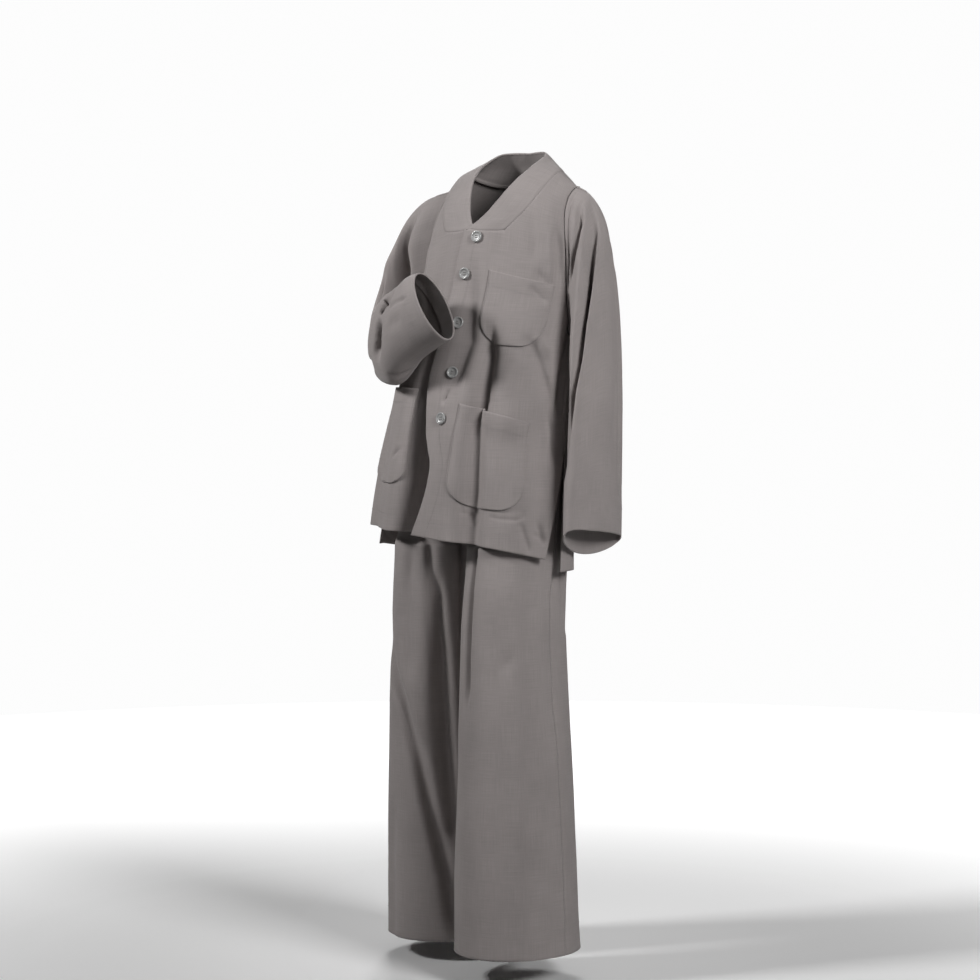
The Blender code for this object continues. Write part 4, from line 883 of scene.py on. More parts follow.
sleeves = {
    "left": {
        "form": {
            "along": (0.0, 0.07, 0.15, 0.25, 0.38, 0.53, 0.69, 0.85, 1.0),
            "outerX": (0.154, 0.18, 0.202, 0.215, 0.226, 0.233, 0.236, 0.237, 0.238),
            "outerY": (0.012, 0.014, 0.014, 0.011, 0.006, -0.002, -0.012, -0.02, -0.026),
            "outerH": (1.358, 1.344, 1.31, 1.25, 1.16, 1.05, 0.94, 0.845, 0.7727),
            "innerX": (0.169, 0.174, 0.1775, 0.18, 0.1815, 0.183, 0.185, 0.188, 0.191),
            "innerY": (-0.013, -0.009, -0.01, -0.012, -0.015, -0.018, -0.021, -0.024, -0.027),
            "innerH": (1.095, 1.086, 1.07, 1.042, 1.0, 0.94, 0.87, 0.795, 0.7326),
            "frontX": (0, 0, 0, 0, 0, 0, 0, 0, 0),
            "frontY": (-0.04, -0.046, -0.052, -0.058, -0.064, -0.07, -0.075, -0.077, -0.078),
            "frontH": (0, 0, 0, 0, 0, 0, 0, 0.005, 0.0103),
        },
        "cuffBow": -0.0047,     # how far the cuff's two sides lie above a flat hem, and its middles below
        "creases": (            # path of (turn, along), width, depth, end fade
            (((8, 0.07), (24, 0.18), (34, 0.22), (49, 0.3), (65, 0.38), (73, 0.46), (87, 0.52), (96, 0.62),
              (108, 0.78)), 0.0165, -0.028, 0.1, 0.35),
            (((20, 0.16), (34, 0.22), (49, 0.3), (65, 0.38), (76, 0.48)), 0.015, -0.029, 0.06, 0.4),
            (((26, 0.06), (42, 0.105), (60, 0.11), (84, 0.085), (100, 0.06)), 0.01, -0.02, 0.03, 0.4),
            (((-6, 0.14), (8, 0.26), (24, 0.36), (42, 0.45)), 0.015, 0.006, 0.06),
            (((16, 0.022), (45, 0.028), (80, 0.03), (112, 0.035)), 0.0045, -0.006, 0.02),
            (((4, 0.2), (20, 0.34), (34, 0.5), (42, 0.68)), 0.02, -0.0045, 0.08),
            (((-40, 0.1), (-52, 0.6), (-58, 0.9)), 0.017, -0.014, 0.08, 0.2),
            (((-14, 0.16), (-22, 0.5), (-24, 0.84)), 0.018, -0.006, 0.08),
            (((118, 0.3), (124, 0.7), (128, 0.9)), 0.014, -0.009, 0.08),
            (((200, 0.42), (232, 0.455), (262, 0.43)), 0.008, -0.005, 0.03),
            (((206, 0.5), (242, 0.525), (268, 0.51)), 0.008, -0.0044, 0.03),
            (((-95, 0.14), (-112, 0.3), (-120, 0.44)), 0.012, -0.009, 0.05, -0.2),
            (((-80, 0.06), (-70, 0.16), (-56, 0.24)), 0.01, -0.006, 0.04),
            (((22, 0.6), (30, 0.8), (27, 1.1)), 0.02, -0.0022, 0.06),
            (((60, 0.7), (66, 0.84), (64, 0.94)), 0.016, 0.002, 0.06),
        ),
        "length": 0.62,
        "hemWidth": 0.048,
    },
    "right": {
        "form": {
            "along": (0.0, 0.07, 0.15, 0.25, 0.36, 0.48, 0.6, 0.74, 0.88, 1.0),
            "outerX": (-0.13, -0.175, -0.207, -0.218, -0.222, -0.206, -0.154, -0.095, -0.025, 0.05),
            "outerY": (0.012, 0.004, -0.008, -0.03, -0.055, -0.085, -0.134, -0.18, -0.2, -0.211),
            "outerH": (1.358, 1.345, 1.308, 1.24, 1.15, 1.068, 1.018, 1.016, 1.06, 1.095),
            "innerX": (-0.163, -0.17, -0.174, -0.172, -0.156, -0.136, -0.109, -0.058, -0.032, -0.012),
            "innerY": (-0.013, -0.015, -0.022, -0.046, -0.085, -0.116, -0.172, -0.202, -0.212, -0.216),
            "innerH": (1.095, 1.09, 1.086, 1.092, 1.118, 1.152, 1.172, 1.19, 1.204, 1.208),
            "frontX": (0.0, -0.004, -0.008, -0.01, -0.012, -0.012, -0.012, -0.008, -0.002, 0.01),
            "frontY": (-0.04, -0.046, -0.044, -0.045, -0.045, -0.043, -0.042, -0.043, -0.046, -0.048),
            "frontH": (0, 0, 0, 0, 0.002, 0.003, 0.004, 0.0, -0.004, -0.004),
        },
        "cuffBow": 0.0,
        "creases": (
            (((20, 0.085), (44, 0.126), (64, 0.138), (84, 0.128), (108, 0.1)), 0.0135, -0.052, 0.04, 0.2),
            (((24, 0.2), (50, 0.225), (84, 0.21)), 0.016, 0.005, 0.05),
            (((92, 0.5), (125, 0.455), (176, 0.45)), 0.0085, -0.013, 0.04),
            (((84, 0.4), (112, 0.395), (150, 0.4)), 0.007, -0.009, 0.03),
            (((152, 0.66), (140, 0.74), (130, 0.8)), 0.0095, -0.023, 0.02),
            (((150, 0.72), (136, 0.745), (118, 0.69)), 0.01, -0.024, 0.02),
            (((118, 0.79), (114, 0.95)), 0.0045, -0.0034, 0.02),
            (((112, 0.7), (96, 0.72), (80, 0.722), (56, 0.69)), 0.0115, -0.026, 0.03),
            (((42, 0.76), (17, 0.8), (-14, 0.85)), 0.006, -0.005, 0.03),
            (((96, 0.8), (84, 0.92)), 0.012, -0.003, 0.03),
            (((20, 0.46), (44, 0.56), (60, 0.64)), 0.012, -0.008, 0.04),
            (((30, 0.26), (36, 0.36), (50, 0.46)), 0.013, -0.007, 0.04),
            (((-30, 0.04), (-46, 0.24), (-60, 0.42)), 0.015, -0.013, 0.05),
            (((-80, 0.1), (-96, 0.22), (-104, 0.34)), 0.012, -0.008, 0.04),
            (((-66, 0.56), (-60, 0.9)), 0.015, -0.005, 0.06),
            (((-20, 0.4), (4, 0.43), (30, 0.42)), 0.008, -0.004, 0.03),
            (((60, 0.2), (74, 0.3), (96, 0.36)), 0.01, -0.0055, 0.04),
            (((130, 0.6), (150, 0.66), (176, 0.68)), 0.007, -0.004, 0.03),
        ),
        "length": 0.6,
        "hemWidth": 0.034,
    },
    "radius": 0.075,
    "bowStart": 0.7,
    "loopFade": 0.26,
    "evenFade": 0.45,
    "clearance": 0.0035,
    "clearanceFade": 0.1,
    "lumps": ((0.1, 0.0012), (0.04, 0.0004), (0.016, 0.0001)),
    "lumpFade": 0.05,
    "seed": 31,
    "tipColumns": 2,            # columns by the shoulder's tip that have no seam allowance
    "rings": 160,
}
sleeves["perDegree"] = math.radians(1.0) * sleeves["radius"]


def clearOfBody(points, clearance):
    # a sleeve's points that would be inside the body's form, moved out to lie on it
    form, level = body["form"], points[..., 2]
    middle = np.stack([tableAt(form, "centreX", level), tableAt(form, "sideY", level), level], axis=-1)
    across = (points[..., 0] - middle[..., 0]) / tableAt(form, "halfWidth", level)
    ahead = middle[..., 1] - points[..., 1]
    depth = np.where(ahead > 0, tableAt(form, "frontDepth", level), tableAt(form, "backDepth", level))
    angle = np.degrees(np.arctan2(across, ahead / depth))
    onLeft, _ = bodyPoints("left", angle, level, clearance)
    onBack, _ = bodyPoints("back", angle, level, clearance)
    onRight, _ = bodyPoints("right", angle, level, clearance)
    onFront = np.where((angle > 0)[..., None], onLeft, onRight)
    onBody = np.where((np.abs(angle) > 90)[..., None], onBack, onFront)
    onBody[..., 2] = level
    inside = np.linalg.norm(points - middle, axis=-1) < np.linalg.norm(onBody - middle, axis=-1)
    inside &= (level < body["stepLevel"]) & (level > body["hemLevel"]) & (clearance > 0)
    return np.where(inside[..., None], onBody, points)


def buildSleeve(name, frontColumn, backColumn):
    settings = sleeves[name]
    form = settings["form"]
    loop = np.concatenate([[(frontColumn[-1] + backColumn[-1]) / 2], frontColumn[-2:0:-1],
                           [(frontColumn[0] + backColumn[0]) / 2], backColumn[1:-1]])
    count = len(loop)
    along = np.linspace(0, 1, sleeves["rings"])[:, None]

    def vector(kind, place):
        return np.stack([tableAt(form, kind + axis, place) for axis in "XYH"], axis=-1)

    outer, inner, front = (vector(kind, along) for kind in ("outer", "inner", "front"))
    centre, crown = (outer + inner) / 2, (outer - inner) / 2
    firstCentre, firstCrown, firstFront = centre[0], crown[0], front[0]
    share = np.clip((loop[:, 2] - firstCentre[0, 2]) / firstCrown[0, 2], -1, 1)
    turn = np.arccos(share)
    turn = np.where(np.arange(count) > count / 2, 2 * math.pi - turn, turn)
    first = firstCentre + firstCrown * np.cos(turn)[:, None] + firstFront * np.sin(turn)[:, None]
    even = 2 * math.pi * np.arange(count) / count
    turn = turn + (even - turn) * ease(along / sleeves["evenFade"])
    arm = crown * np.cos(turn)[..., None] + front * np.sin(turn)[..., None]
    degrees = np.degrees(turn)
    wide = along + 0 * degrees
    offset = creases(settings["creases"], degrees, wide, sleeves["perDegree"], settings["length"])
    offset = addLumps(offset, sleeves["lumps"], degrees * sleeves["perDegree"], wide * settings["length"],
                      sleeves["seed"], ease(wide / sleeves["lumpFade"]) * np.abs(np.sin(turn)))
    keep = 1 - ease(along / sleeves["loopFade"])
    points = centre + arm + unit(arm) * offset[..., None] + (loop - first) * keep[..., None]
    bowed = ease((wide - sleeves["bowStart"]) / (1 - sleeves["bowStart"]))
    points[..., 2] += settings["cuffBow"] * np.cos(2 * turn) * bowed
    points = clearOfBody(points, sleeves["clearance"] * ease(wide / sleeves["clearanceFade"]))
    points[0] += unit(points[1] - points[0]) * body["seamGap"]
    wrapped = np.concatenate([points[:, -1:], points, points[:, :1]], axis=1)
    beside, above = wrapped[:, 2:] - wrapped[:, :-2], np.gradient(points, axis=0)
    normals = facing(unit(np.cross(beside, above)), arm)
    fromCuff = runBack(points, 0)
    points = points + normals * seamRoll(runAlong(points, 0))[..., None]
    turned = (fromCuff < settings["hemWidth"]).astype(float)
    columns = np.arange(count + 1) * 2 * math.pi * sleeves["radius"] / count
    flat = np.stack([columns[None, :] + 0 * along, along * settings["length"] + 0 * columns[None, :]],
                    axis=-1)
    fromTip = np.minimum(np.arange(count), count - np.arange(count))
    piece = makeSheet("sleeve" + name.capitalize(), points, normals, flat, turned, closed=True,
                      tucks=(("bottom", fromTip > sleeves["tipColumns"]),))
    finishPiece(piece, "cloth", "sleeve_" + name)
    loops = [np.concatenate([grid, grid[:, :1]], axis=1) for grid in (points, normals)]
    sew("jacket", *loops, ("top", settings["hemWidth"]))
    return piece


underarmRow = int(np.argmin(np.abs(bodyLevels() - body["underarmLevel"])))
sleeveLeft = buildSleeve("left", leftPoints[underarmRow:, -1], backPoints[underarmRow:, 0])
sleeveRight = buildSleeve("right", rightPoints[underarmRow:, -1], backPoints[underarmRow:, -1])
print("sleeves made")

# ---- the collar

collar = {
    "inner": {                  # inner edge from the front end's corner to the centre of the back
        "left": (None, 0.0, 0.01, 0.022, 0.033, 0.042, 0.049, 0.053, 0.056, 0.057, 0.056, 0.049, 0.034, 0.018,
                 0.0),
        "right": (None, -0.0055, 0.0045, 0.014, 0.026, 0.0375, 0.0465, 0.052, 0.056, 0.057, 0.056, 0.049, 0.034,
                  0.018, 0.0),
        "forward": (None, -0.1035, -0.098, -0.09, -0.075, -0.057, -0.04, -0.023, -0.005, 0.012, 0.028, 0.042,
                    0.053, 0.059, 0.061),
        "height": (None, 1.292, 1.3, 1.314, 1.335, 1.357, 1.374, 1.386, 1.398, 1.407, 1.415, 1.423, 1.425,
                   1.425, 1.424),
    },
    "bulge": 0.003,
    "stand": 0.0006,
    "lift": 0.0038,             # of the left end where it lies on the right end
    "lifted": (3.0, 7.0),
    "thickness": 0.0028,
    "rows": 24,
    "lumps": ((0.03, 0.0006), (0.012, 0.0003)),
    "lumpFade": (0.01, 0.006),     # from the seam and from the inner edge
    "seed": 51,
    "start": 0.004,             # share of the way in where the first row stands
    "middle": (0.02, 1.3),     # how far back and how high the band's middle is
    "lean": 0.03,
    "measuredRow": 12,          # the row whose length the flat cloth takes
    "foldWidth": 0.0016,        # the inner edge is a fold, so it rolls in
    "foldDepth": 0.0012,
    "creases": (                # path of (metres from the front end, metres from the seam), and so on
        (((0.03, 0.018), (0.034, 0.05)), 0.0018, -0.0007, 0.008),
        (((0.395, 0.016), (0.392, 0.05)), 0.0018, -0.0007, 0.008),
        (((0.075, 0.006), (0.1, 0.04)), 0.009, -0.0012, 0.015),
        (((0.33, 0.008), (0.31, 0.045)), 0.009, -0.0014, 0.015),
        (((0.17, 0.012), (0.196, 0.048)), 0.008, -0.0014, 0.015),
    ),
}


def curveThrough(points, place):
    # a smooth curve through points, read at places counted from the first point
    points = np.asarray(points, float)
    padded = np.concatenate([[2 * points[0] - points[1]], points, [2 * points[-1] - points[-2]]])
    i = np.clip(np.floor(place).astype(int), 0, len(points) - 2)
    t = (place - i)[:, None]
    p0, p1, p2, p3 = padded[i], padded[i + 1], padded[i + 2], padded[i + 3]
    return 0.5 * (2 * p1 + (p2 - p0) * t + (2 * p0 - 5 * p1 + 4 * p2 - p3) * t**2
                  + (3 * p1 - p0 - 3 * p2 + p3) * t**3)


def buildCollar():
    centre = float(tableAt(body["form"], "centreX", body["stepLevel"]))
    endLevel = body["stepLevel"] + 2 * body["seamGap"]
    upper = bodyLevels()[body["lowerRows"] - 1:].copy()
    upper[0] = endLevel
    stops = np.array((endLevel, (endLevel + body["upperLevels"][1]) / 2) + body["upperLevels"][1:])
    backStops = stops[::-1][:6]
    backUpper = upper[::-1][1:]
    backUpper = backUpper[backUpper >= body["backNeckLevel"] - 1e-6]
    frontPlace = np.interp(upper, stops, np.arange(len(stops)))
    backPlace = np.interp(-backUpper, -backStops, np.arange(len(backStops))) + len(stops) - 1
    place = np.concatenate([frontPlace, backPlace])
    neck, stand, inner = body["neck"], collar["stand"], collar["inner"]
    share = np.concatenate([[collar["start"]], np.linspace(0, 1, collar["rows"])[1:]])[:, None, None]
    middleY, middleH = collar["middle"]
    halves = []
    for side, name in ((1, "left"), (-1, "right")):
        frontSeam, _ = bodyPoints(name, side * tableAt(neck, "frontAngle", upper), upper, stand + 0 * upper)
        backSeam, _ = bodyPoints("back", side * (180 - backNeckAngle(backUpper)), backUpper,
                                 stand + 0 * backUpper)
        seam = np.concatenate([frontSeam, backSeam])
        edge = float(angleOfX(tableAt(body["placket"], "overEdge" if side > 0 else "underEdge",
                                      body["stepLevel"]), body["stepLevel"]))
        start = side * float(tableAt(neck, "frontAngle", endLevel))
        angles = start + (edge - start) * share[:, 0, 0]
        lower, _ = bodyPoints(name, angles, body["stepLevel"] - stepDip(angles) + 2 * body["seamGap"],
                              stand + 0 * angles)
        stopsInner = [lower[-1]] + [np.array((centre + side * a, f, h)) for a, f, h in
                                    zip(inner[name][1:], inner["forward"][1:], inner["height"][1:])]
        innerEdge = curveThrough(stopsInner, place)
        away = unit(np.stack([seam[:, 0] - centre, seam[:, 1] - middleY, collar["lean"] + 0 * seam[:, 0]],
                             axis=-1))
        grid = seam + (innerEdge - seam) * share
        bulge = collar["bulge"] * np.sin(math.pi * share) * ease(place)[None, :, None]
        straight = lower - (seam[0] + (innerEdge[0] - seam[0]) * share[:, 0])
        grid = grid + straight[:, None] * (1 - ease(place))[None, :, None]
        if side > 0:
            first, last = collar["lifted"]
            near = 1 - ease((place - first) / (last - first))
            bulge = bulge + collar["lift"] * near[None, :, None] * ease(share * 2)
        halves.append(grid + away * bulge)
    first, second = halves
    middle = (first[:, -1:] + second[:, -1:]) / 2
    points = np.concatenate([first[:, :-1], middle, second[:, :-1][:, ::-1]], axis=1)
    normals = unit(np.cross(np.gradient(points, axis=1), np.gradient(points, axis=0)))
    normals = facing(normals, points - np.array([centre, middleY, middleH]))
    fromInner, fromSeam = runBack(points, 0), runAlong(points, 0)
    along = runAlong(points, 1)[collar["measuredRow"]][None] + 0 * fromSeam
    offset = -collar["foldDepth"] * np.exp(-(fromInner / collar["foldWidth"])**2)
    offset = offset + creases(collar["creases"], along, fromSeam, 1.0, 1.0)
    seamFade, innerFade = collar["lumpFade"]
    offset = addLumps(offset, collar["lumps"], along, fromSeam, collar["seed"],
                      ease(fromSeam / seamFade) * ease(fromInner / innerFade))
    points = points + normals * (offset + seamRoll(fromSeam))[..., None]
    flat = np.stack([along, fromSeam], axis=-1)
    piece = makeSheet("collarBand", points, normals, flat, np.ones(points.shape[:2]),
                      thickness=collar["thickness"],
                      tucks=(("bottom", None), ("first", None), ("last", None)))
    return finishPiece(piece, "cloth", "collar")


collarPiece = buildCollar()
print("collar made")

# ---- the pockets

pockets = {
    "chestPocket": {
        "node": "chest_pocket", "panel": "left",
        "corners": ((18.3, 1.205), (17.2, 1.088), (60.0, 1.08), (62.5, 1.186)),
        "stand": 0.0008, "mouth": 0.002, "corner": 0.045,
    },
    "pocketLeft": {
        "node": "pocket_left", "panel": "left",
        "corners": ((15.5, 0.986), (12.5, 0.812), (56.0, 0.803), (58.5, 0.953)),
        "stand": 0.0008, "mouth": 0.0065, "corner": 0.045,
    },
    "pocketRight": {
        "node": "pocket_right", "panel": "right",
        "corners": ((-18.5, 1.01), (-18.5, 0.846), (-60.0, 0.846), (-60.0, 1.01)),
        "stand": 0.0008, "mouth": 0.004, "corner": 0.026,
    },
    "mouthHem": 0.026,
    "edgeHem": 0.0065,
    "stitchInset": 0.0026,
    "mouthStart": 0.72,         # share of the height from which the mouth stands open
    "mouthPower": 0.8,
    "edge": (0.0009, 0.0016),   # depth and width of the drawn edge
    "groove": (0.0003, 0.001),  # of the line that the stitching draws in
    "pucker": (0.00025, 0.006, 0.012),  # height, size and reach of the puckers along it
    "seed": 61,
    "columns": 56,
    "rows": 60,
    "rowPower": 1.15,           # rows stand closer at the rounded foot
}


def buildPocket(name, settings):
    (a0, top0), (a1, low1), (a2, low2), (a3, top3) = settings["corners"]
    width = abs(a2 - a1) * body["perDegree"]
    height = (top0 - low1 + top3 - low2) / 2
    v = np.linspace(0, 1, pockets["rows"])[:, None]**pockets["rowPower"]
    corner = settings["corner"]
    reach = np.clip(1 - v * height / corner, 0, 1)
    inset = corner * (1 - np.sqrt(1 - reach**2)) / width
    s = inset + (1 - 2 * inset) * np.linspace(0, 1, pockets["columns"])[None, :]
    angle = (a1 + (a0 - a1) * v) * (1 - s) + (a2 + (a3 - a2) * v) * s
    level = (low1 + (low2 - low1) * s) * (1 - v) + (top0 + (top3 - top0) * s) * v
    base = cloth["thickness"] + settings["stand"]
    if settings["panel"] == "left":
        base = base + lapLift(angle)
    opened = ease((v - pockets["mouthStart"]) / (1 - pockets["mouthStart"]))
    lift = base + settings["mouth"] * opened * np.sin(math.pi * s)**pockets["mouthPower"]
    points, _ = bodyPoints(settings["panel"], angle, level, lift)
    edges = np.minimum.reduce([runAlong(points, 1), runBack(points, 1), runAlong(points, 0)])
    fromMouth = runBack(points, 0)
    inset = pockets["stitchInset"]
    for (depth, width), start in ((pockets["edge"], 0.0), (pockets["groove"], inset)):
        lift = lift - depth * np.exp(-((edges - start) / width)**2)
    height, size, reach = pockets["pucker"]
    pucker = height * softNoise(angle * body["perDegree"], level, size, pockets["seed"])
    lift = lift + pucker * np.exp(-(edges / reach)**2)
    points, normals = bodyPoints(settings["panel"], angle, level, lift)
    turned = np.maximum((edges < pockets["edgeHem"]).astype(float),
                        (fromMouth < pockets["mouthHem"]).astype(float))
    flat = np.stack([angle * body["perDegree"], level], axis=-1)
    piece = makeSheet(name, points, normals, flat, turned)
    sew("jacket", points, normals, ("first", inset), ("last", inset), ("bottom", inset),
        ("top", pockets["mouthHem"]))
    return finishPiece(piece, "cloth", settings["node"])


pocketPieces = {name: buildPocket(name, pockets[name])
                for name in ("chestPocket", "pocketLeft", "pocketRight")}
print("pockets made")

# ---- the buttons

buttons = {
    "places": ((1.2705, 0.0305), (1.208, 0.0125), (1.123, 0.011), (1.038, 0.0125), (0.96, 0.006)),
    "radius": 0.0102,
    "thickness": 0.0034,
    "stand": 0.0009,
    "dish": 0.48,               # share of the thickness at the sunk middle
    "steps": 6,                 # rounds of finding the level whose cloth lies at a button's height
    "sides": 72,
    "profile": (                # share of the radius, share of the thickness
        (0.86, 0.0), (0.95, 0.06), (1.0, 0.24), (1.0, 0.55), (0.975, 0.82), (0.92, 0.96), (0.86, 1.0),
        (0.79, 0.97), (0.73, 0.84), (0.69, 0.66), (0.62, 0.54), (0.5, 0.48),
    ),
    "holeRadius": 0.001,
    "holeSides": 24,
    "holeSpread": 0.0019,
    "drillLength": 0.02,
    "creaseAngle": 40,
    "threadRadius": 0.00038,
    "threadSides": 8,
    "offThread": (0.3, 0.2, 0.93),  # a direction that no thread follows
    "threadsApart": 0.7,       # thread radii between the two threads of a pair of holes
    "threadPath": (             # across in hole spreads, share of the way up to the dish, and metres above it
        (-1.0, 0.0, -0.0012), (-1.0, 0.7, 0.0), (-0.8, 1.0, 0.0003), (0.0, 1.0, 0.0006),
        (0.8, 1.0, 0.0003), (1.0, 0.7, 0.0), (1.0, 0.0, -0.0012),
    ),
}


def buttonMesh(settings):
    built = bmesh.new()
    rings = []
    for share, rise in settings["profile"]:
        ring = []
        for k in range(settings["sides"]):
            turn = 2 * math.pi * k / settings["sides"]
            ring.append(built.verts.new((share * settings["radius"] * math.cos(turn),
                                         share * settings["radius"] * math.sin(turn),
                                         rise * settings["thickness"])))
        rings.append(ring)
    joinRings(built, rings)
    blank = addObject("buttonBlank", meshFrom(built, "buttonBlank"))
    drills = bmesh.new()
    radius, spread = settings["holeRadius"], settings["holeSpread"]
    for x in (-1, 1):
        for y in (-1, 1):
            made = bmesh.ops.create_cone(drills, cap_ends=True, segments=settings["holeSides"], radius1=radius,
                                         radius2=radius, depth=settings["drillLength"])
            bmesh.ops.translate(drills, verts=made["verts"], vec=(x * spread, y * spread, 0))
    drill = addObject("buttonDrills", meshFrom(drills, "buttonDrills"))
    cut = blank.modifiers.new("holes", "BOOLEAN")
    cut.operation = "DIFFERENCE"
    cut.solver = "EXACT"
    cut.object = drill
    done = bpy.data.meshes.new_from_object(blank.evaluated_get(bpy.context.evaluated_depsgraph_get()))
    bpy.data.objects.remove(blank)
    bpy.data.objects.remove(drill)
    done.name = "button"
    done.shade_smooth()
    done.set_sharp_from_angle(angle=math.radians(settings["creaseAngle"]))
    done.materials.append(greyPearl)
    return done


def threadTube(built, path, radius, sides):
    # a round thread through points
    path = [Vector(p) for p in path]
    rings = []
    for i, p in enumerate(path):
        ahead = (path[min(i + 1, len(path) - 1)] - path[max(i - 1, 0)]).normalized()
        aside = ahead.cross(Vector(buttons["offThread"])).normalized()
        upward = ahead.cross(aside)
        rings.append([built.verts.new(p + (aside * math.cos(t) + upward * math.sin(t)) * radius)
                      for t in [2 * math.pi * k / sides for k in range(sides)]])
    joinRings(built, rings)


def buttonSewing(settings):
    sewing = bmesh.new()
    top = settings["dish"] * settings["thickness"]
    spread, radius = settings["holeSpread"], settings["threadRadius"]
    for y in (-1, 1):
        for shift in (-1, 1):
            aside = y * spread + shift * settings["threadsApart"] * radius
            path = [(x * spread, aside, up * top + rise) for x, up, rise in settings["threadPath"]]
            threadTube(sewing, path, radius, settings["threadSides"])
    mesh = meshFrom(sewing, "buttonThread")
    mesh.shade_smooth()
    mesh.materials.append(sewingThread)
    return mesh


def buildButtons(settings):
    mesh, threadMesh = buttonMesh(settings), buttonSewing(settings)
    for number, (height, x) in enumerate(settings["places"], 1):
        angle = float(angleOfX(x, height))
        level = height
        for _ in range(settings["steps"]):
            climb = float(tableAt(body["form"], "rise", level)) * (1 - abs(math.sin(math.radians(angle))))
            level = height - climb
        spot, way = bodyPoints("left", np.array(angle), np.array(level), np.array(float(lapLift(angle))))
        normal = Vector(way)
        place = Vector(spot) - Vector((0, 0, heldHeight)) + normal * settings["stand"]
        stance = {"location": place, "rotation_mode": "QUATERNION",
                  "rotation_quaternion": normal.to_track_quat("Z", "Y")}
        finishPiece(addObject(f"button{number}", mesh.copy(), **stance), "button", f"button_{number}")
        finishPiece(addObject(f"buttonThread{number}", threadMesh.copy(), **stance), "cloth")


buildButtons(buttons)
print("buttons made")

# ---- the trousers

